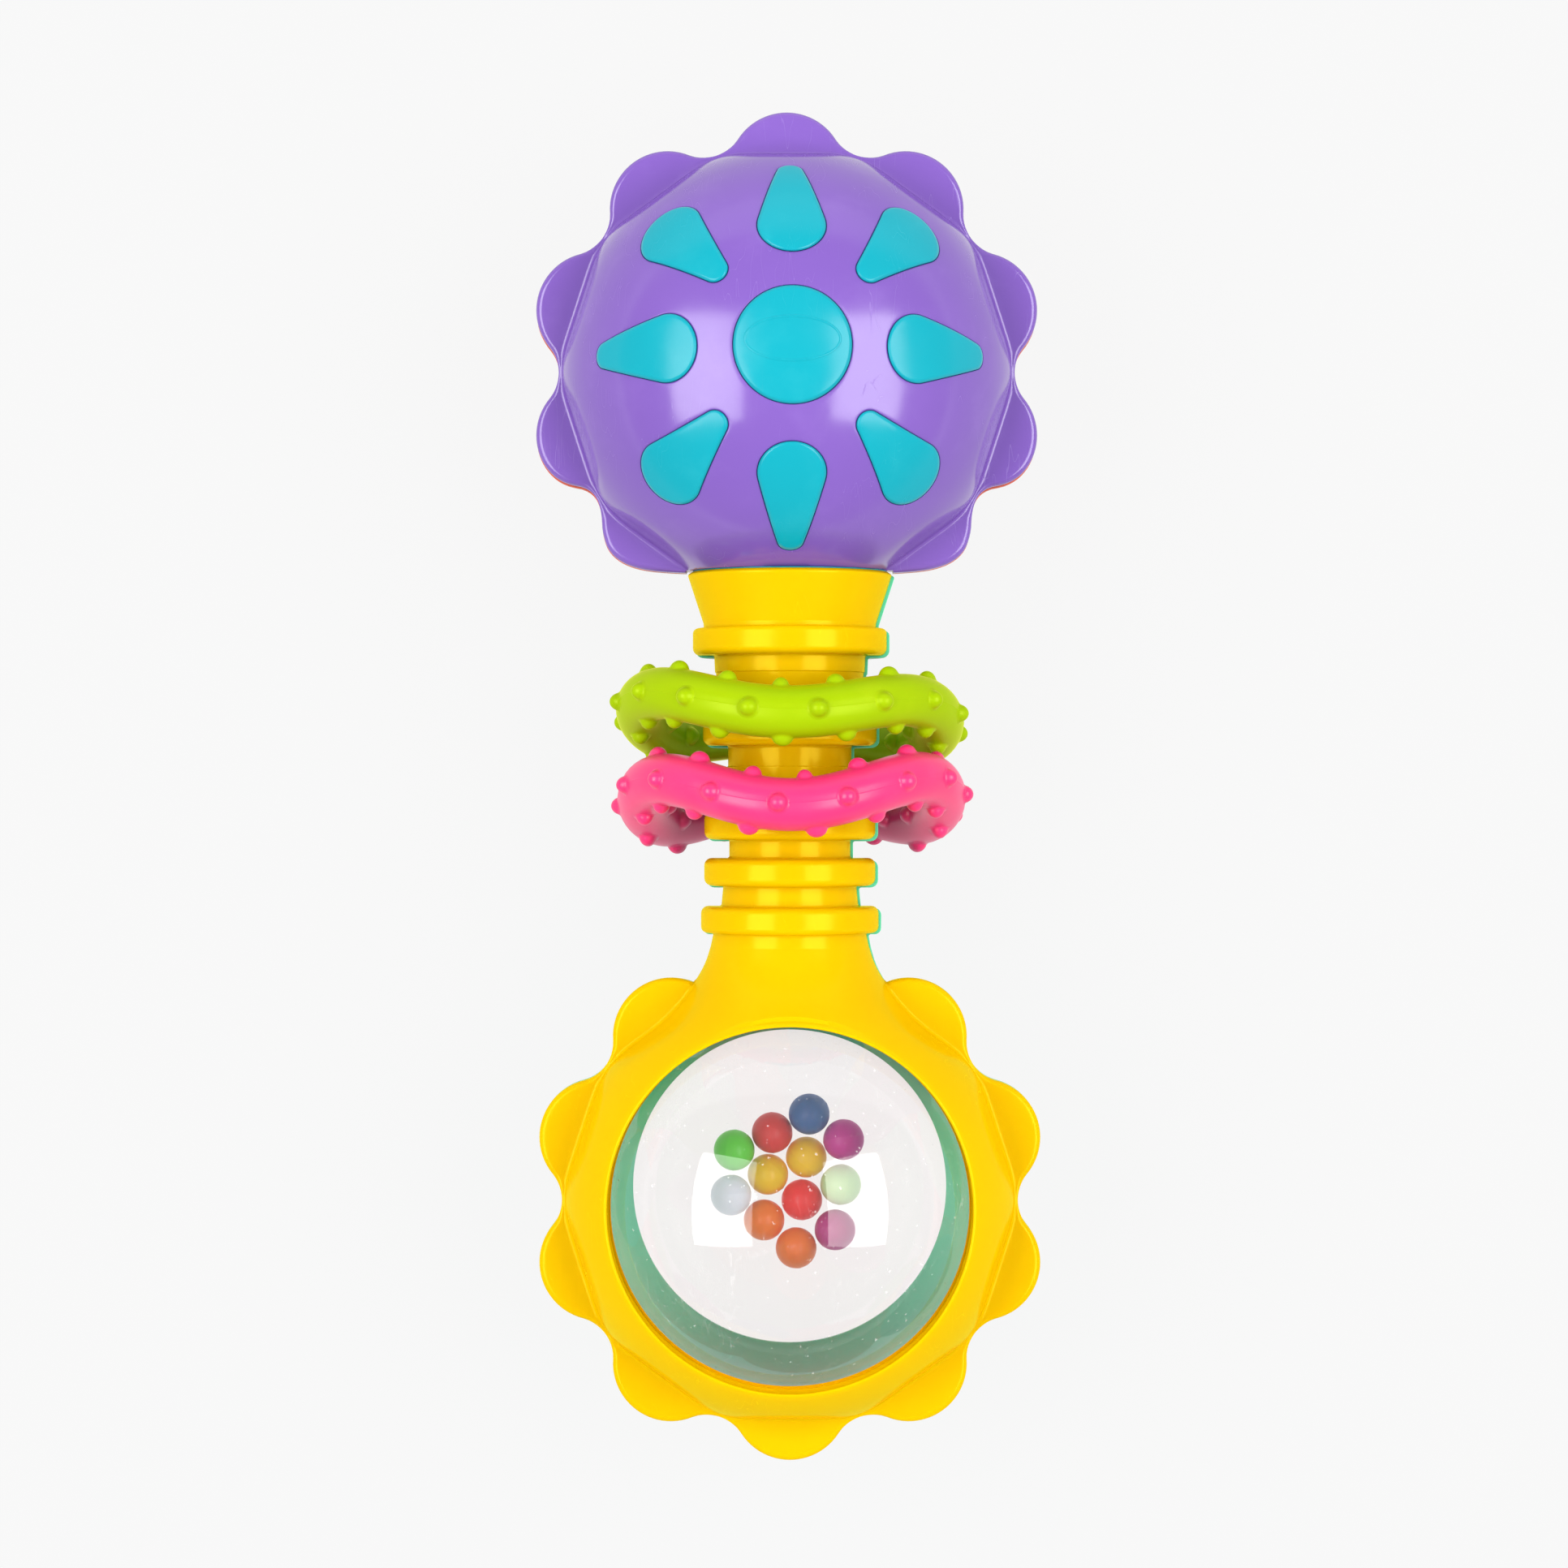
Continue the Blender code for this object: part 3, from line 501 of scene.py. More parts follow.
    # The neck's rim sits in a shallow round seat in the flat end
    bore = moved(rod(BEARING_RADIUS, -32.0, -20.0, "Y", 72), across)
    seat = moved(rod(13.95, -32.0, end + SEAT, "Y", 160), across)
    return drilled(mesh, bore, seat)


def insert_mesh():
    """The inner plate and its nine bosses, proud of the dome, with rounded edges."""
    shape = Shape()
    soft = 0.5
    for base, tip in zip(boss_outlines(0.0), boss_outlines(-soft)):
        tall = HEAD_HEIGHT + BOSS_PROUD

        def top(p, drop=0.0, tall=tall):
            z = ellipse_height((p**2).sum(axis=1), DOME_RADIUS + BOSS_PROUD, tall) - drop
            return np.stack([p[:, 0], p[:, 1], z], axis=1)

        points, triangles, starts = filled(tip, [], 0.8, 0.4)
        skin = shape.add(top(points))
        shape.faces += [tuple(skin[i] for i in f) for f in triangles]
        before = skin[: len(tip)]
        for t in np.linspace(90, 0, 8)[1:]:
            part = math.cos(math.radians(t))
            loop = tip * (1 - part) + base * part
            ring = shape.add(top(loop, soft * (1 - math.sin(math.radians(t)))))
            shape.band(before, ring)
            before = ring
        ring = shape.add(top(base, 3.2))
        shape.band(before, ring)
        points, triangles, starts = filled(base, [], 2.0, 1.0)
        skin = ring + shape.add(top(points[len(base) :], 3.2))
        shape.faces += [tuple(skin[i] for i in f) for f in triangles]
    # A raised oval line on the disc
    a, b = 6.1, 2.85
    rings = []
    for t in np.linspace(0, 2 * math.pi, 97)[:-1]:
        x, y = a * math.cos(t), b * math.sin(t)
        out = np.array([math.cos(t) / a, math.sin(t) / b])
        out /= np.linalg.norm(out)
        ring = []
        for w, h in ((-0.2, -0.3), (-0.16, 0.0), (-0.1, 0.05), (0.0, 0.07), (0.1, 0.05), (0.16, 0.0), (0.2, -0.3)):
            px, py = leant(np.array([[x + out[0] * w, y + out[1] * w + 0.65]]))[0]
            z = float(ellipse_height(px**2 + py**2, DOME_RADIUS + BOSS_PROUD, HEAD_HEIGHT + BOSS_PROUD)) + h
            ring.append((px, py, z))
        rings.append(shape.add(ring))
    for i, ring in enumerate(rings):
        following = rings[(i + 1) % len(rings)]
        shape.band(ring, following)
    mesh = shape.mesh("bosses", 0.0005)

    plate = Shape()
    rings = []
    outer, inner = 27.5, 26.1
    profile = [(float(ellipse_height(r**2, outer, outer - 3.2)), r) for r in np.linspace(0.0, 24.9, 16)]
    profile += [(float(ellipse_height(r**2, inner, inner - 3.2)), r) for r in np.linspace(24.9, 0.0, 16)]
    for z, r in profile:
        rings.append(plate.add([(r * math.cos(t), r * math.sin(t), z) for t in np.linspace(0, 2 * math.pi, 65)[:-1]]))
    for p, q in zip(rings, rings[1:]):
        plate.band(p, q)
    shell = plate.mesh("plate", 0.001)
    bm = bmesh.new()
    bm.from_mesh(shell)
    bmesh.ops.bisect_plane(
        bm, geom=[*bm.verts, *bm.edges, *bm.faces], plane_co=(0, -0.020, 0), plane_no=(0, -1, 0), clear_outer=True, dist=1e-8
    )
    bmesh.ops.holes_fill(bm, edges=[e for e in bm.edges if e.is_boundary], sides=0)
    bm.from_mesh(mesh)
    bm.to_mesh(mesh)
    bm.free()
    return mesh


# ---------------------------------------------------------------- handle and ball body

NECK_SEAM = 32.9  # where the ball's body hands over to the turned grip, from the ball's centre


def neck_radius(along):
    """Radius of the neck below the last rib, along its length from the ball's centre."""
    y = along + BALL_Y
    low = 11.72 + 0.36 * (-25.0 - y)
    return np.interp(-y, [19.3, 21.5, 23.3, 25.0], [10.1, 10.58, 11.13, 11.72]) * (y >= -25.0) + low * (y < -25.0)


def body_field(x, y, z):
    """Roughly the distance outside the ball's body blended with the neck."""
    r = np.hypot(x, y)
    turn = np.degrees(np.arctan2(y, x))
    q = np.sqrt((r / DOME_RADIUS) ** 2 + (z / BALL_BODY_HEIGHT) ** 2)
    ell = (q - 1) * 29.0
    facet = (r * np.cos(np.radians(off_tip(turn))) - (FACET_AT_RIM - FACET_SLOPE * (z - RIM_HALF))) * 0.987
    bulb = soft_max(ell, facet, 0.55)
    rho = np.hypot(x, z)
    neck = (rho - neck_radius(y)) * 0.94
    neck = np.maximum(neck, y - 36.5)
    neck = np.where(y > 12.0, neck, 30.0)
    return soft_min(bulb, neck, 4.2)


def root(value, low, high, steps=44):
    """Where value(t) turns positive, for whole arrays at once."""
    low, high = np.broadcast_arrays(low, high)
    low, high = low.astype(float).copy(), high.astype(float).copy()
    for _ in range(steps):
        middle = (low + high) / 2
        inside = value(middle) < 0
        low = np.where(inside, middle, low)
        high = np.where(inside, high, middle)
    return (low + high) / 2


GRIP_CORNERS = [
    # (along the grip, radius, rounding)
    (BALL_Y + NECK_SEAM, None, 0.0),
    (-21.5, 10.58, 0.0),
    (-19.7, 10.2, 0.3),
    (-19.7, 11.88, 1.0),
    (-16.12, 11.88, 1.0),
    (-16.12, 9.16, 0.3),
    (-13.41, 8.9, 0.3),
    (-13.41, 11.45, 1.0),
    (-9.72, 11.45, 1.0),
    (-9.72, 8.1, 0.3),
    (-7.22, 8.1, 0.3),
    (-7.22, 11.45, 1.0),
    (-3.53, 11.45, 1.0),
    (-3.53, 8.42, 0.3),
    (2.45, 8.38, 0.05),
    (2.55, 8.26, 0.05),
    (5.27, 8.25, 0.3),
    (5.27, 11.62, 1.0),
    (9.06, 11.62, 1.0),
    (9.06, 9.3, 0.3),
    (15.0, 9.9, 0.05),
    (15.1, 10.02, 0.05),
    (17.3, 10.12, 0.3),
    (17.3, 12.97, 1.0),
    (20.95, 12.97, 0.9),
    (20.95, 11.5, 0.2),
    (21.6, 11.55, 0.4),
    (28.08, 13.66, 0.3),
    (28.45, 13.1, 0.25),
    (28.45, 7.0, 0.3),
    (31.35, 7.0, 0.2),
    (31.35, 8.4, 0.3),
    (33.0, 8.4, 0.3),
    (33.0, 4.4, 0.2),
    (38.0, 4.4, 0.4),
    (38.0, 3.0, 0.0),
]


def handle_mesh(opening, ledge=(0.0, 0.0)):
    """Half of the handle about the grip's axis: the ball's body, its petals and the ribbed grip.

    ledge is how far the opening's foot stands in under its lip, and how far that foot is shifted along the grip.
    """
    shape = Shape()
    turn = np.arange(COLUMNS) * 360.0 / COLUMNS
    c, s = np.cos(np.radians(turn)), np.sin(np.radians(turn))

    def at_height(z):
        return root(lambda r: body_field(r * c, r * s, z), np.full(COLUMNS, 20.0), np.full(COLUMNS, 48.0))

    inside = at_height(np.full(COLUMNS, RIM_HALF))
    crease, petal = petal_rows(turn, inside, at_height)
    rows = []
    narrow = np.minimum(opening - ledge[0] + ledge[1] * s, opening)
    foot = np.sqrt(SOCKET**2 - narrow**2)
    lip = float(ellipse_height(opening**2, DOME_RADIUS, BALL_BODY_HEIGHT))
    soft = 1.0 if ledge[0] else 1.25
    over = opening + soft
    ones = np.ones(COLUMNS)
    rows.append((narrow, foot))
    # A groove between the foot and the lip, down to just over the clear ball
    deep = narrow + 0.62 * (opening - narrow)
    rows.append((deep, np.sqrt(SOCKET**2 - deep**2)))
    rows.append((opening * ones, (foot + (lip - soft - 0.1 - foot) * 0.4) * ones))
    shoulder = float(ellipse_height(over**2, DOME_RADIUS, BALL_BODY_HEIGHT))
    for t in np.linspace(0, 1, 10)[:-1]:
        r = (1 - t) ** 2 * opening + 2 * t * (1 - t) * opening + t**2 * over
        z = (1 - t) ** 2 * (lip - soft) + 2 * t * (1 - t) * lip + t**2 * shoulder
        rows.append((r * ones, z * ones))
    start = math.atan2(shoulder, over)
    low = RIM_HALF + crease
    end = np.arctan2(low, at_height(low))
    for t in np.linspace(0, 1, 45):
        rise = start * (1 - t) + end * t
        reach = root(lambda d: body_field(d * np.cos(rise) * c, d * np.cos(rise) * s, d * np.sin(rise)), 20.0 * ones, 48.0 * ones)
        rows.append((reach * np.cos(rise), reach * np.sin(rise)))
    for r, z in petal[:-1]:
        rows.append((np.maximum(r, at_height(z)), z))
    rows.append((rows[-1][0] - 0.12, SEAM * ones))
    for t in np.linspace(0, 1, 15):
        z = SEAM + (foot - SEAM) * math.sin(t * math.pi / 2)
        rows.append((np.sqrt(SOCKET**2 - z**2) * ones, z * ones))
    rings = [shape.add(np.stack([r * c, r * s, z], axis=1)) for r, z in rows[:-1]]
    for a, b in zip(rings, rings[1:]):
        shape.band(a, b)
    shape.band(rings[-1], rings[0])
    mesh = shape.mesh("ball_half", 0.003)

    bm = bmesh.new()
    bm.from_mesh(mesh)
    bmesh.ops.bisect_plane(
        bm, geom=[*bm.verts, *bm.edges, *bm.faces], plane_co=(0, NECK_SEAM * MM, 0), plane_no=(0, 1, 0), clear_outer=True, dist=1e-8
    )
    edge = [v for v in bm.verts if v.is_boundary]
    bmesh.ops.remove_doubles(bm, verts=edge, dist=0.03 * MM)
    edge = [v for v in bm.verts if v.is_boundary and abs(v.co.y - NECK_SEAM * MM) < 1e-6]
    radius = float(neck_radius(np.array([NECK_SEAM]))[0])
    floor = [v for v in edge if v.co.z < (SEAM + 0.01) * MM]
    floor.sort(key=lambda v: v.co.x)
    arch = [v for v in edge if v not in floor] + [floor[0], floor[-1]]
    arch.sort(key=lambda v: math.atan2(v.co.x, v.co.z))
    angles = []
    for v in arch[1:-1]:
        a = math.atan2(v.co.x, v.co.z)
        v.co.x, v.co.z = radius * math.sin(a) * MM, radius * math.cos(a) * MM
        angles.append(a)
    full = math.acos((SEAM + 0.12) / radius)
    corners = [(BALL_Y + NECK_SEAM, radius, 0.0), *GRIP_CORNERS[1:]]
    before = arch
    lower = floor
    for along, out in filleted(corners)[1:]:
        stretch = math.acos(min((SEAM + 0.12) / out, 1.0)) / full
        ring = []
        reach = math.sqrt(out**2 - SEAM**2) - 0.12
        y = (along - BALL_Y) * MM
        ring.append(bm.verts.new((-reach * MM, y, SEAM * MM)))
        for a in angles:
            ring.append(bm.verts.new((out * math.sin(a * stretch) * MM, y, out * math.cos(a * stretch) * MM)))
        ring.append(bm.verts.new((reach * MM, y, SEAM * MM)))
        for i in range(len(ring) - 1):
            bm.faces.new((before[i], before[i + 1], ring[i + 1], ring[i]))
        bm.faces.new([*lower, ring[-1], ring[0]])
        before, lower = ring, [ring[0], ring[-1]]
    bm.faces.new(before)
    bmesh.ops.recalc_face_normals(bm, faces=bm.faces)
    bm.to_mesh(mesh)
    bm.free()
    moved(mesh, 0, BALL_Y, 0)
    return mesh


def dome_mesh():
    """Half of the clear ball, a thin shell with a flat foot."""
    outer, inner = BALL_RADIUS, BALL_RADIUS - BALL_WALL
    profile = []
    for t in np.linspace(0.0, math.acos(0.15 / outer), 56):
        profile.append((outer * math.cos(t), max(outer * math.sin(t), 1e-4)))
    for t in np.linspace(math.acos(0.15 / inner), 0.0, 48):
        profile.append((inner * math.cos(t), max(inner * math.sin(t), 1e-4)))
    return lathe(profile, 144, closed=False)


# ---------------------------------------------------------------- rings


def ring_mesh(centre_x, centre_y, lean, side_lean, wave, shift, phase, sag=0.0):
    """A waved tube with four rows of domed bumps and a fine mould line."""
    axis = np.array([-side_lean, RING_RADIUS, -lean])
    axis /= np.linalg.norm(axis)
    up = np.array([0.0, 0.0, 1.0])
    top = up - axis * (up @ axis)
    top /= np.linalg.norm(top)
    right = np.cross(axis, top)
    middle = np.array([centre_x, centre_y, RING_Z])

    def unit(v):
        return v / np.linalg.norm(v, axis=-1, keepdims=True)

    def radial(t):
        return np.cos(t)[..., None] * top + np.sin(t)[..., None] * right

    def spine(t):
        along = wave * np.cos(3 * (t - shift)) + sag * np.maximum(-np.cos(t), 0.0) ** 1.5
        return radial(t) * RING_RADIUS - along[..., None] * axis

    def skin(t, a, height):
        """Points at a height over the tube, at angles t round the ring and a round the tube."""
        along = unit(spine(t + 0.003) - spine(t - 0.003))
        out = radial(t)
        out = unit(out - along * (out * along).sum(axis=-1, keepdims=True))
        normal = out * np.cos(a)[..., None] + np.cross(along, out) * np.sin(a)[..., None]
        return middle + spine(t) + normal * (TUBE_RADIUS + height)[..., None]

    shape = Shape()
    around, across = 240, 40
    turns = sorted(
        [2 * math.pi * j / across for j in range(across)] + [0.018, 2 * math.pi - 0.018, 0.04, 2 * math.pi - 0.04]
    )
    t, a = np.meshgrid(np.arange(around) * 2 * math.pi / around, np.array(turns), indexing="ij")
    off = np.minimum(a, 2 * math.pi - a) * TUBE_RADIUS
    rings = [shape.add(ring) for ring in skin(t, a, 0.035 * np.exp(-((off / 0.07) ** 2)))]
    for i in range(around):
        shape.band(rings[i], rings[(i + 1) % around])
    # A bump is a ball's cap with a hollow fillet round its foot, laid on the tube
    height, ball, fillet = 1.04, 1.27, 0.42
    sunk = ball - height
    foot = math.sqrt((ball + fillet) ** 2 - (fillet + sunk) ** 2)
    touch = math.atan2(foot, fillet + sunk)
    profile = [(ball * math.sin(touch * p), ball * math.cos(touch * p) - sunk) for p in np.linspace(0.05, 1.0, 9)]
    for p in np.linspace(0, 1, 5)[1:]:
        profile.append((foot - fillet * math.sin(touch * (1 - p)), fillet - fillet * math.cos(touch * (1 - p))))
    profile += [(foot + 0.06, -0.03), (foot + 0.06, -0.6)]
    q = np.linspace(0, 2 * math.pi, 25)[:-1]
    for row, start in zip((0.0, 90.0, 180.0, 270.0), phase):
        for k in range(16):
            t0, a0 = math.radians(start + 22.5 * k), math.radians(row)
            before = None
            for r, h in profile:
                t = t0 + r * np.cos(q) / (RING_RADIUS + (TUBE_RADIUS + h) * math.cos(a0))
                a = a0 + r * np.sin(q) / (TUBE_RADIUS + h)
                loop = shape.add(skin(t, a, np.full(len(q), h)))
                if before is None:
                    shape.faces.append(tuple(loop))
                else:
                    shape.band(before, loop)
                before = loop
            shape.faces.append(tuple(reversed(before)))
    return moved(shape.mesh("ring", 1e-4), 0, 0, 0)


# ---------------------------------------------------------------- materials


class Graph:
    """Short names for the nodes of one material."""

    def __init__(self, name):
        self.material = bpy.data.materials.new(name)
        self.material.use_nodes = True
        self.tree = self.material.node_tree
        self.shader = self.tree.nodes["Principled BSDF"]
        self.place = self.node("ShaderNodeTexCoord").outputs["Object"]

    def node(self, kind, **settings):
        node = self.tree.nodes.new(kind)
        for key, value in settings.items():
            setattr(node, key, value)
        return node

    def link(self, source, target):
        self.tree.links.new(source, target)

    def noise(self, scale, detail=2.0, rough=0.5, vector=None):
        node = self.node("ShaderNodeTexNoise")
        node.inputs["Scale"].default_value = scale
        node.inputs["Detail"].default_value = detail
        node.inputs["Roughness"].default_value = rough
        self.link(vector or self.place, node.inputs["Vector"])
        return node.outputs["Fac"]

    def stretch(self, scale, turn=(0, 0, 0), move=(0, 0, 0)):
        node = self.node("ShaderNodeMapping")
        node.inputs["Scale"].default_value = scale
        node.inputs["Rotation"].default_value = turn
        node.inputs["Location"].default_value = move
        self.link(self.place, node.inputs["Vector"])
        return node.outputs["Vector"]

    def ranged(self, value, low, high, to_low, to_high, smooth=True):
        node = self.node("ShaderNodeMapRange", interpolation_type="SMOOTHSTEP" if smooth else "LINEAR")
        for name, number in (("From Min", low), ("From Max", high), ("To Min", to_low), ("To Max", to_high)):
            node.inputs[name].default_value = number
        self.link(value, node.inputs["Value"])
        return node.outputs["Result"]

    def maths(self, operation, a, b=None):
        node = self.node("ShaderNodeMath", operation=operation)
        for socket, value in zip(node.inputs, (a, b)):
            if value is None:
                continue
            if isinstance(value, (int, float)):
                socket.default_value = value
            else:
                self.link(value, socket)
        return node.outputs[0]

    def mix(self, factor, a, b, blend="MIX"):
        node = self.node("ShaderNodeMix", data_type="RGBA", blend_type=blend)
        for socket, value in ((node.inputs[0], factor), (node.inputs[6], a), (node.inputs[7], b)):
            if isinstance(value, (int, float)):
                socket.default_value = value
            elif isinstance(value, tuple):
                socket.default_value = (*value, 1.0)
            else:
                self.link(value, socket)
        return node.outputs[2]

    def lines(self, scale, thin, part, turn):
        """Sparse hairline scratches: thin ridges of a stretched noise, in some patches only."""
        vector = self.stretch((scale, scale * 0.12, scale * 0.4), turn)
        fine = self.noise(1.0, 1.0, 0.4, vector)
        ridge = self.maths("ABSOLUTE", self.maths("SUBTRACT", fine, 0.5))
        line = self.ranged(ridge, 0.0, thin, 1.0, 0.0)
        patch = self.ranged(self.noise(95.0, 1.0, 0.5, self.stretch((1, 1, 1), (0, 0, 0), turn)), part, part + 0.08, 0.0, 1.0)
        return self.maths("MULTIPLY", line, patch)

    def crazing(self, place, size):
        """Fine branching stress cracks round one spot of the surface."""
        away = self.node("ShaderNodeVectorMath", operation="DISTANCE")
        self.link(self.place, away.inputs[0])
        away.inputs[1].default_value = place
        spot = self.ranged(away.outputs["Value"], size * 0.3, size, 1.0, 0.0)
        cells = self.node("ShaderNodeTexVoronoi", feature="DISTANCE_TO_EDGE")
        cells.inputs["Scale"].default_value = 330.0
        cells.inputs["Randomness"].default_value = 1.0
        bent = self.node("ShaderNodeVectorMath", operation="MULTIPLY_ADD")
        wobble = self.node("ShaderNodeTexNoise")
        wobble.inputs["Scale"].default_value = 800.0
        self.link(self.place, wobble.inputs["Vector"])
        self.link(wobble.outputs["Color"], bent.inputs[0])
        bent.inputs[1].default_value = (0.0012, 0.0012, 0.0012)
        self.link(self.place, bent.inputs[2])
        self.link(bent.outputs[0], cells.inputs["Vector"])
        line = self.ranged(cells.outputs["Distance"], 0.0, 0.035, 1.0, 0.0)
        some = self.ranged(self.noise(500.0, 2.0, 0.5), 0.45, 0.6, 0.0, 1.0)
        return self.maths("MULTIPLY", self.maths("MULTIPLY", line, some), spot)


def moulded(name, colour, deep, pale, roughness=0.22, subsurface=0.0, radius=(1.0, 0.5, 0.25), scratch=0.5, peel=0.35, level=0.5, tint=None, cracks=None, depth=0.0012):
    """Injection-moulded plastic: a slightly uneven colour, a soft skin and fine handling marks."""
    g = Graph(name)
    flow = g.noise(42.0, 3.0, 0.55)
    body = g.mix(g.ranged(flow, 0.3, 0.72, 0.0, 1.0), deep, colour)
    cloud = g.ranged(g.noise(140.0, 4.0, 0.6), 0.52, 0.78, 0.0, 0.35)
    body = g.mix(cloud, body, pale)
    marks = g.lines(700.0, 0.006, 0.56, (0.3, 0.5, 0.9))
    more = g.lines(900.0, 0.005, 0.58, (0.9, -0.4, -0.5))
    marks = g.maths("MAXIMUM", marks, more)
    if cracks:
        marks = g.maths("MAXIMUM", marks, g.crazing(*cracks))
    body = g.mix(g.maths("MULTIPLY", marks, 0.22 * scratch), body, pale)
    g.link(body, g.shader.inputs["Base Color"])
    smudge = g.ranged(g.noise(75.0, 4.0, 0.62), 0.35, 0.75, roughness - 0.035, roughness + 0.07)
    g.link(g.maths("ADD", smudge, g.maths("MULTIPLY", marks, 0.25 * scratch)), g.shader.inputs["Roughness"])
    skin = g.maths("MULTIPLY", g.noise(420.0, 2.0, 0.5), peel)
    skin = g.maths("ADD", skin, g.maths("MULTIPLY", g.noise(2600.0, 2.0, 0.5), peel * 0.12))
    skin = g.maths("SUBTRACT", skin, g.maths("MULTIPLY", marks, 0.3 * scratch))
    bump = g.node("ShaderNodeBump")
    bump.inputs["Strength"].default_value = 0.12
    bump.inputs["Distance"].default_value = 0.0002
    g.link(skin, bump.inputs["Height"])
    g.link(bump.outputs["Normal"], g.shader.inputs["Normal"])
    g.shader.inputs["Subsurface Weight"].default_value = subsurface
    g.shader.inputs["Subsurface Radius"].default_value = radius
    g.shader.inputs["Subsurface Scale"].default_value = depth
    g.shader.inputs["Specular IOR Level"].default_value = level
    if tint:
        # A deep-dyed plastic: its gloss takes some of the colour at every angle
        root_ = math.sqrt(0.08 * level)
        g.shader.inputs["Specular IOR Level"].default_value = 0.0
        gloss = g.node("ShaderNodeBsdfGlossy")
        gloss.inputs["Color"].default_value = (*tint, 1.0)
        g.link(g.shader.inputs["Roughness"].links[0].from_socket, gloss.inputs["Roughness"])
        g.link(bump.outputs["Normal"], gloss.inputs["Normal"])
        fresnel = g.node("ShaderNodeFresnel")
        fresnel.inputs["IOR"].default_value = (1 + root_) / (1 - root_)
        g.link(bump.outputs["Normal"], fresnel.inputs["Normal"])
        top = g.node("ShaderNodeMixShader")
        g.link(fresnel.outputs[0], top.inputs[0])
        g.link(g.shader.outputs[0], top.inputs[1])
        g.link(gloss.outputs[0], top.inputs[2])
        g.link(top.outputs[0], g.tree.nodes["Material Output"].inputs["Surface"])
    g.material.diffuse_color = (*colour, 1.0)
    return g.material


def clear_plastic(name, wear):
    """Thin clear plastic: see-through, with a glossy face and faint scuffs."""
    g = Graph(name)
    tree = g.tree
    marks = g.lines(800.0, 0.006, 0.5, (0.2, 0.4, 0.3))
    dust = g.ranged(g.noise(1500.0, 2.0, 0.5), 0.70, 0.76, 0.0, 1.0)
    haze = g.maths("ADD", g.maths("MULTIPLY", marks, 0.16 * wear), g.maths("MULTIPLY", dust, 0.28 * wear))
    haze = g.maths("ADD", haze, g.ranged(g.noise(60.0, 3.0, 0.6), 0.4, 0.8, 0.006 * wear + 0.002, 0.012 * wear + 0.006))
    through = g.node("ShaderNodeBsdfTransparent")
    through.inputs["Color"].default_value = (0.999, 0.991, 0.989, 1.0)
    film = g.node("ShaderNodeBsdfDiffuse")
    film.inputs["Color"].default_value = (0.9, 0.89, 0.88, 1.0)
    base = g.node("ShaderNodeMixShader")
    g.link(haze, base.inputs[0])
    g.link(through.outputs[0], base.inputs[1])
    g.link(film.outputs[0], base.inputs[2])
    gloss = g.node("ShaderNodeBsdfGlossy")
    gloss.inputs["Color"].default_value = (1.0, 1.0, 1.0, 1.0)
    g.link(g.ranged(g.noise(90.0, 3.0, 0.6), 0.3, 0.8, 0.02, 0.07), gloss.inputs["Roughness"])
    fresnel = g.node("ShaderNodeFresnel")
    fresnel.inputs["IOR"].default_value = 1.46
    # Inside the wall the light goes straight through: only its skin is glossy
    facing = g.maths("SUBTRACT", 1.0, g.node("ShaderNodeNewGeometry").outputs["Backfacing"])
    top = g.node("ShaderNodeMixShader")
    both = g.maths("MULTIPLY", fresnel.outputs[0], 1.15)
    g.link(g.maths("MULTIPLY", both, facing), top.inputs[0])
    g.link(base.outputs[0], top.inputs[1])
    g.link(gloss.outputs[0], top.inputs[2])
    g.link(top.outputs[0], tree.nodes["Material Output"].inputs["Surface"])
    tree.nodes.remove(g.shader)
    g.material.diffuse_color = (0.9, 0.95, 0.97, 0.3)
    return g.material


def steel(name):
    g = Graph(name)
    grain = g.noise(900.0, 3.0, 0.6)
    g.link(g.mix(g.ranged(grain, 0.3, 0.7, 0.0, 1.0), (0.52, 0.52, 0.54), (0.72, 0.72, 0.73)), g.shader.inputs["Base Color"])
    g.link(g.ranged(grain, 0.2, 0.8, 0.24, 0.42), g.shader.inputs["Roughness"])
    g.shader.inputs["Metallic"].default_value = 1.0
    bump = g.node("ShaderNodeBump")
    bump.inputs["Strength"].default_value = 0.15
    bump.inputs["Distance"].default_value = 0.0001
    g.link(grain, bump.inputs["Height"])
    g.link(bump.outputs["Normal"], g.shader.inputs["Normal"])
    return g.material


yellow = moulded(
    "yellow_plastic",
    (0.635, 0.388, 0.0),
    (0.62, 0.375, 0.0),
    (0.655, 0.408, 0.001),
    0.2,
    0.3,
    (1.0, 0.6, 0.02),
    depth=0.0022,
    level=0.45,
    tint=(1.0, 0.86, 0.07),
)
mint = moulded("mint_plastic", (0.10, 0.56, 0.32), (0.085, 0.53, 0.295), (0.135, 0.60, 0.36), 0.24, level=0.22)
purple = moulded(
    "purple_plastic",
    (0.158, 0.073, 0.358),
    (0.147, 0.067, 0.341),
    (0.192, 0.10, 0.40),
    0.17,
    scratch=1.0,
    level=0.62,
    cracks=((0.0092, 0.0512, 0.0512), 0.0052),
)
orange_red = moulded("orange_red_plastic", (0.575, 0.098, 0.047), (0.545, 0.089, 0.042), (0.615, 0.127, 0.066), 0.2)
teal = moulded("teal_plastic", (0.0, 0.287, 0.353), (0.0, 0.273, 0.339), (0.015, 0.325, 0.386), 0.2, level=0.25)
white = moulded("white_plastic", (0.78, 0.78, 0.75), (0.74, 0.74, 0.71), (0.82, 0.82, 0.80), 0.35)
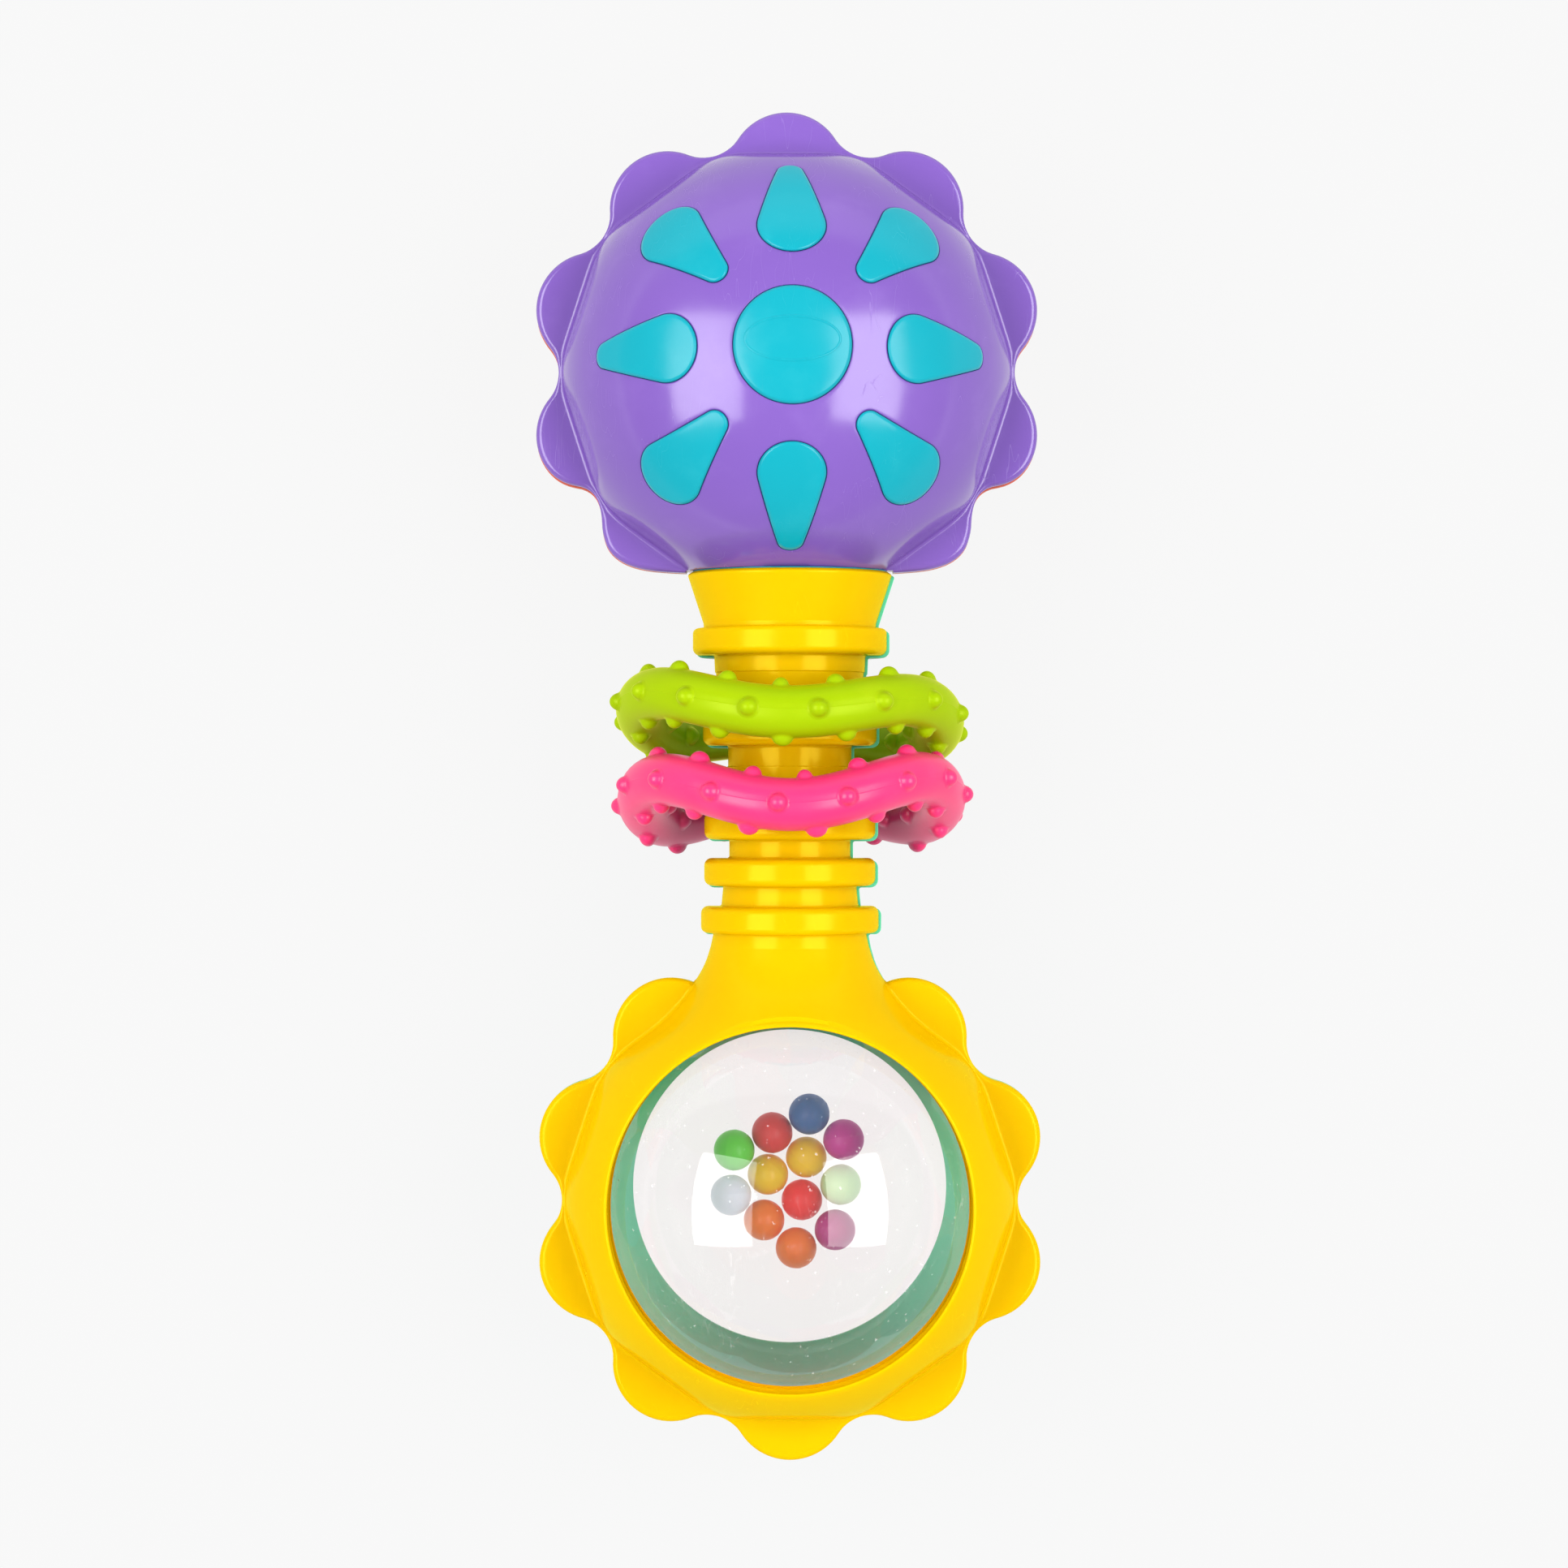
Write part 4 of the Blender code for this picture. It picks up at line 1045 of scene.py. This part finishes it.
lime = moulded(
    "lime_rubber",
    (0.28, 0.415, 0.0),
    (0.258, 0.392, 0.0),
    (0.325, 0.445, 0.004),
    0.33,
    0.06,
    (0.45, 1.0, 0.05),
    scratch=0.3,
    peel=0.6,
    level=0.40,
    tint=(0.95, 1.0, 0.18),
)
pink = moulded(
    "pink_rubber",
    (0.73, 0.019, 0.143),
    (0.70, 0.016, 0.129),
    (0.77, 0.042, 0.187),
    0.32,
    0.08,
    (1.0, 0.25, 0.5),
    scratch=0.3,
    peel=0.6,
    level=0.5,
)
clear = clear_plastic("clear_plastic", 1.0)
clear_rear = clear_plastic("clear_plastic_rear", 0.0)
screw_steel = steel("screw_steel")

BEADS = {
    "bead_01": ((0.022, 0.085, 0.27), "bead_blue"),
    "bead_02": ((0.58, 0.030, 0.032), "bead_dull_red"),
    "bead_03": ((0.41, 0.013, 0.22), "bead_magenta"),
    "bead_04": ((0.09, 0.49, 0.03), "bead_green"),
    "bead_05": ((0.83, 0.42, 0.0), "bead_amber"),
    "bead_06": ((0.84, 0.44, 0.0), "bead_amber"),
    "bead_07": ((0.41, 0.55, 0.30), "bead_pale_green"),
    "bead_08": ((0.38, 0.40, 0.50), "bead_pale_grey"),
    "bead_09": ((0.72, 0.016, 0.018), "bead_red"),
    "bead_10": ((0.95, 0.145, 0.008), "bead_orange"),
    "bead_11": ((0.36, 0.012, 0.17), "bead_plum"),
    "bead_12": ((0.97, 0.132, 0.006), "bead_orange"),
}

# ---------------------------------------------------------------- pieces

# Head
half = head_mesh(HEAD_END, -HEAD_AT[0])
rear = mirrored(head_mesh(HEAD_END - REAR_HEAD_SHIFT[1], -HEAD_AT[0] - REAR_HEAD_SHIFT[0]))
show("head_front_shell_visual", moved(half, *HEAD_AT, MID), purple, "head", "purple_shell", "head_front_shell")
show(
    "head_rear_shell_visual",
    moved(rear, HEAD_AT[0] + REAR_HEAD_SHIFT[0], HEAD_AT[1] + REAR_HEAD_SHIFT[1], MID),
    orange_red,
    "head",
    "orange_shell",
    "head_rear_shell",
)
bosses = insert_mesh()
rear = mirrored(bosses)
show("front_insert_visual", moved(bosses, *HEAD_AT, MID), teal, "head", "teal_insert", "front_insert")
show(
    "rear_insert_visual",
    moved(rear, HEAD_AT[0] + REAR_HEAD_SHIFT[0], HEAD_AT[1] + REAR_HEAD_SHIFT[1], MID),
    teal,
    "head",
    "teal_insert",
    "rear_insert",
)
collar = lathe(
    filleted([(28.48, BEARING_RADIUS, 0), (28.48, 13.0, 0.05), (28.59, 13.0, 0.05), (28.59, BEARING_RADIUS, 0)], 4), 160, "Y"
)
show("twist_collar_visual", moved(collar, 0, 0, MID), teal, "head", "teal_insert", "twist_collar")

# Handle


def ease(y):
    """How much of the rear handle's offset shows at a place along the grip: none at the ball."""
    t = np.clip((np.asarray(y) + 32.0) / 16.0, 0.0, 1.0)
    return t * t * (3 - 2 * t)


def eased(mesh):
    co = np.empty(len(mesh.vertices) * 3)
    mesh.vertices.foreach_get("co", co)
    co = co.reshape(-1, 3)
    part = ease(co[:, 1] / MM)
    co[:, 0] += REAR_HANDLE_SHIFT[0] * MM * part
    co[:, 1] += REAR_HANDLE_SHIFT[1] * MM * part
    mesh.vertices.foreach_set("co", co.ravel())
    return mesh


front = handle_mesh(FRONT_OPENING, (0.45, 0.5))
show("handle_front_shell_visual", moved(front, 0, 0, MID), yellow, "handle", "yellow_shell", "handle_front_shell")
back = mirrored(handle_mesh(REAR_OPENING))
holes = []
for y in (-22.4, 23.4):
    holes.append(moved(rod(2.4, -20.0, -5.2, steps=48), 0, y, 0))
    holes.append(moved(rod(1.3, -20.0, 5.0, steps=32), 0, y, 0))
back = drilled(back, *holes)
show(
    "handle_rear_shell_visual",
    moved(eased(back), 0, 0, MID),
    mint,
    "handle",
    "mint_shell",
    "handle_rear_shell",
)

# Clear ball
dome = dome_mesh()
rear = mirrored(dome)
show("window_dome_front_visual", moved(dome, 0, BALL_Y, MID), clear, "handle", "clear_dome", "window_dome_front")
show("window_dome_rear_visual", moved(rear, 0, BALL_Y, MID), clear_rear, "handle", "clear_dome", "window_dome_rear")

# Screws
for name, y in (("handle_screw_lower", -22.4), ("handle_screw_upper", 23.4)):
    profile = filleted(
        [(6.6, 0.001, 0), (6.6, 0.4, 0.1), (5.6, 1.0, 0.3), (-5.5, 1.0, 0.1), (-5.5, 2.1, 0.12), (-6.7, 2.1, 0.45), (-7.2, 1.2, 0.9), (-7.25, 0.001, 0)],
        5,
    )
    shank = lathe(profile, 48, closed=False)
    arms = []
    for w, l in ((0.26, 1.35), (1.35, 0.26)):
        bm = bmesh.new()
        bmesh.ops.create_cube(bm, size=1.0)
        bmesh.ops.scale(bm, vec=Vector((2 * w, 2 * l, 1.8)) * MM, verts=bm.verts)
        bmesh.ops.translate(bm, vec=Vector((0, 0, -7.4)) * MM, verts=bm.verts)
        arm = bpy.data.meshes.new("arm")
        bm.to_mesh(arm)
        bm.free()
        arms.append(arm)
    shank = drilled(shank, *arms)
    part = float(ease(y))
    shank = moved(shank, REAR_HANDLE_SHIFT[0] * part, y + REAR_HANDLE_SHIFT[1] * part, MID)
    show(f"{name}_visual", shank, screw_steel, "handle", "screw_steel", name)

# Rings
show(
    "lime_ring_visual",
    ring_mesh(0.0, 9.1, 1.9, -0.7, 1.5, -0.06, (9.0, -2.6, 9.0, -3.9), 0.9),
    lime,
    "lime_ring",
    "lime_rubber",
    "lime_ring",
)
show(
    "pink_ring_visual",
    ring_mesh(0.25, -2.0, 1.55, 0.15, 2.05, 0.0, (-4.5, 8.0, -4.5, 5.7)),
    pink,
    "pink_ring",
    "pink_rubber",
    "pink_ring",
)

# Beads: balls with a fine seam and a gate mark, each turned its own way
for number, (name, (colour, slot)) in enumerate(BEADS.items()):
    low, high = (Vector(p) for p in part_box(name))
    centre = (low + high) / 2
    colour = tuple(min(0.97, 1.36 * v) for v in colour)
    pale = tuple(min(1.0, v * 1.1 + 0.02) for v in colour)
    deep = tuple(v * 0.93 for v in colour)
    material = moulded(f"{name}_plastic", colour, deep, pale, 0.36, 0.25, (1.0, 0.7, 0.6), scratch=0.6, peel=0.8, level=0.3)
    profile = []
    for t in np.linspace(0, math.pi, 45):
        r = 2.84 + 0.035 * math.exp(-(((t - math.pi / 2) / 0.035) ** 2)) - 0.05 * math.exp(-((t / 0.16) ** 2))
        profile.append((r * math.cos(t), max(r * math.sin(t), 1e-4)))
    mesh = lathe(profile, 48, closed=False)
    turn = Matrix.Rotation(0.7 + 1.9 * number, 4, "X") @ Matrix.Rotation(0.4 + 1.3 * number, 4, "Y")
    mesh.transform(turn)
    mesh.transform(Matrix.Translation(centre))
    show(f"{name}_visual", mesh, material, name, slot, name)

# The ratchet and its tongue keep their CAD shapes
for name in ("ratchet_wheel", "click_tongue"):
    for slot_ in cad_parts[name].material_slots:
        slot_.material = white

# ---------------------------------------------------------------- floor, light and camera

bm = bmesh.new()
bmesh.ops.create_grid(bm, x_segments=8, y_segments=8, size=3.0)
mesh = bpy.data.meshes.new("floor")
bm.to_mesh(mesh)
bm.free()
floor = bpy.data.objects.new("floor", mesh)
bpy.context.scene.collection.objects.link(floor)
paper = bpy.data.materials.new("floor_paper")
paper.use_nodes = True
shader = paper.node_tree.nodes["Principled BSDF"]
shader.inputs["Base Color"].default_value = (0.025, 0.025, 0.025, 1.0)
shader.inputs["Roughness"].default_value = 1.0
shader.inputs["Specular IOR Level"].default_value = 0.0
shader.inputs["Emission Color"].default_value = (1.0, 1.0, 1.0, 1.0)
shader.inputs["Emission Strength"].default_value = 0.89
mesh.materials.append(paper)

world = bpy.data.worlds.new("studio")
bpy.context.scene.world = world
world.use_nodes = True
tree = world.node_tree
back = tree.nodes["Background"]
way = tree.nodes.new("ShaderNodeTexCoord")
split = tree.nodes.new("ShaderNodeSeparateXYZ")
# A pale room with a darker ceiling; its wall stands higher towards +Y
forward = tree.nodes.new("ShaderNodeMath")
forward.operation = "MAXIMUM"
forward.inputs[1].default_value = 0.0
fourth = tree.nodes.new("ShaderNodeMath")
fourth.operation = "POWER"
fourth.inputs[1].default_value = 4.0
wall = tree.nodes.new("ShaderNodeMath")
wall.operation = "MULTIPLY_ADD"
wall.inputs[1].default_value = -0.50
span = tree.nodes.new("ShaderNodeMapRange")
span.interpolation_type = "SMOOTHSTEP"
for key, value in (("From Min", 0.02), ("From Max", 0.10), ("To Min", 1.32), ("To Max", 0.68)):
    span.inputs[key].default_value = value
tree.links.new(way.outputs["Generated"], split.inputs[0])
tree.links.new(split.outputs["Y"], forward.inputs[0])
tree.links.new(forward.outputs[0], fourth.inputs[0])
tree.links.new(fourth.outputs[0], wall.inputs[0])
tree.links.new(split.outputs["Z"], wall.inputs[2])
tree.links.new(wall.outputs[0], span.inputs["Value"])
tree.links.new(span.outputs["Result"], back.inputs["Strength"])
back.inputs["Color"].default_value = (1.0, 1.0, 1.0, 1.0)


def softbox(name, place, size, power, target=(0, 0, 0.02)):
    data = bpy.data.lights.new(name, "AREA")
    data.shape = "RECTANGLE"
    data.size, data.size_y = size
    data.energy = power
    obj = bpy.data.objects.new(name, data)
    bpy.context.scene.collection.objects.link(obj)
    obj.location = place
    way = Vector(target) - Vector(place)
    obj.rotation_euler = way.to_track_quat("-Z", "Y").to_euler()
    return obj


softbox("softbox_left", (-1.12, 0.05, 1.45), (1.59, 1.15), 34.5)
softbox("softbox_right", (1.12, 0.05, 1.45), (1.59, 1.15), 34.5)

camera_data = bpy.data.cameras.new("camera")
camera_data.lens = 94.0
camera_data.sensor_width = 36.0
camera_data.clip_start = 0.01
camera_data.clip_end = 20.0
camera = bpy.data.objects.new("camera", camera_data)
camera.location = (-0.00078, 0.00016, 0.575)
bpy.context.scene.collection.objects.link(camera)
bpy.context.scene.camera = camera
bpy.context.scene.view_settings.view_transform = "Standard"
bpy.context.scene.view_settings.look = "None"
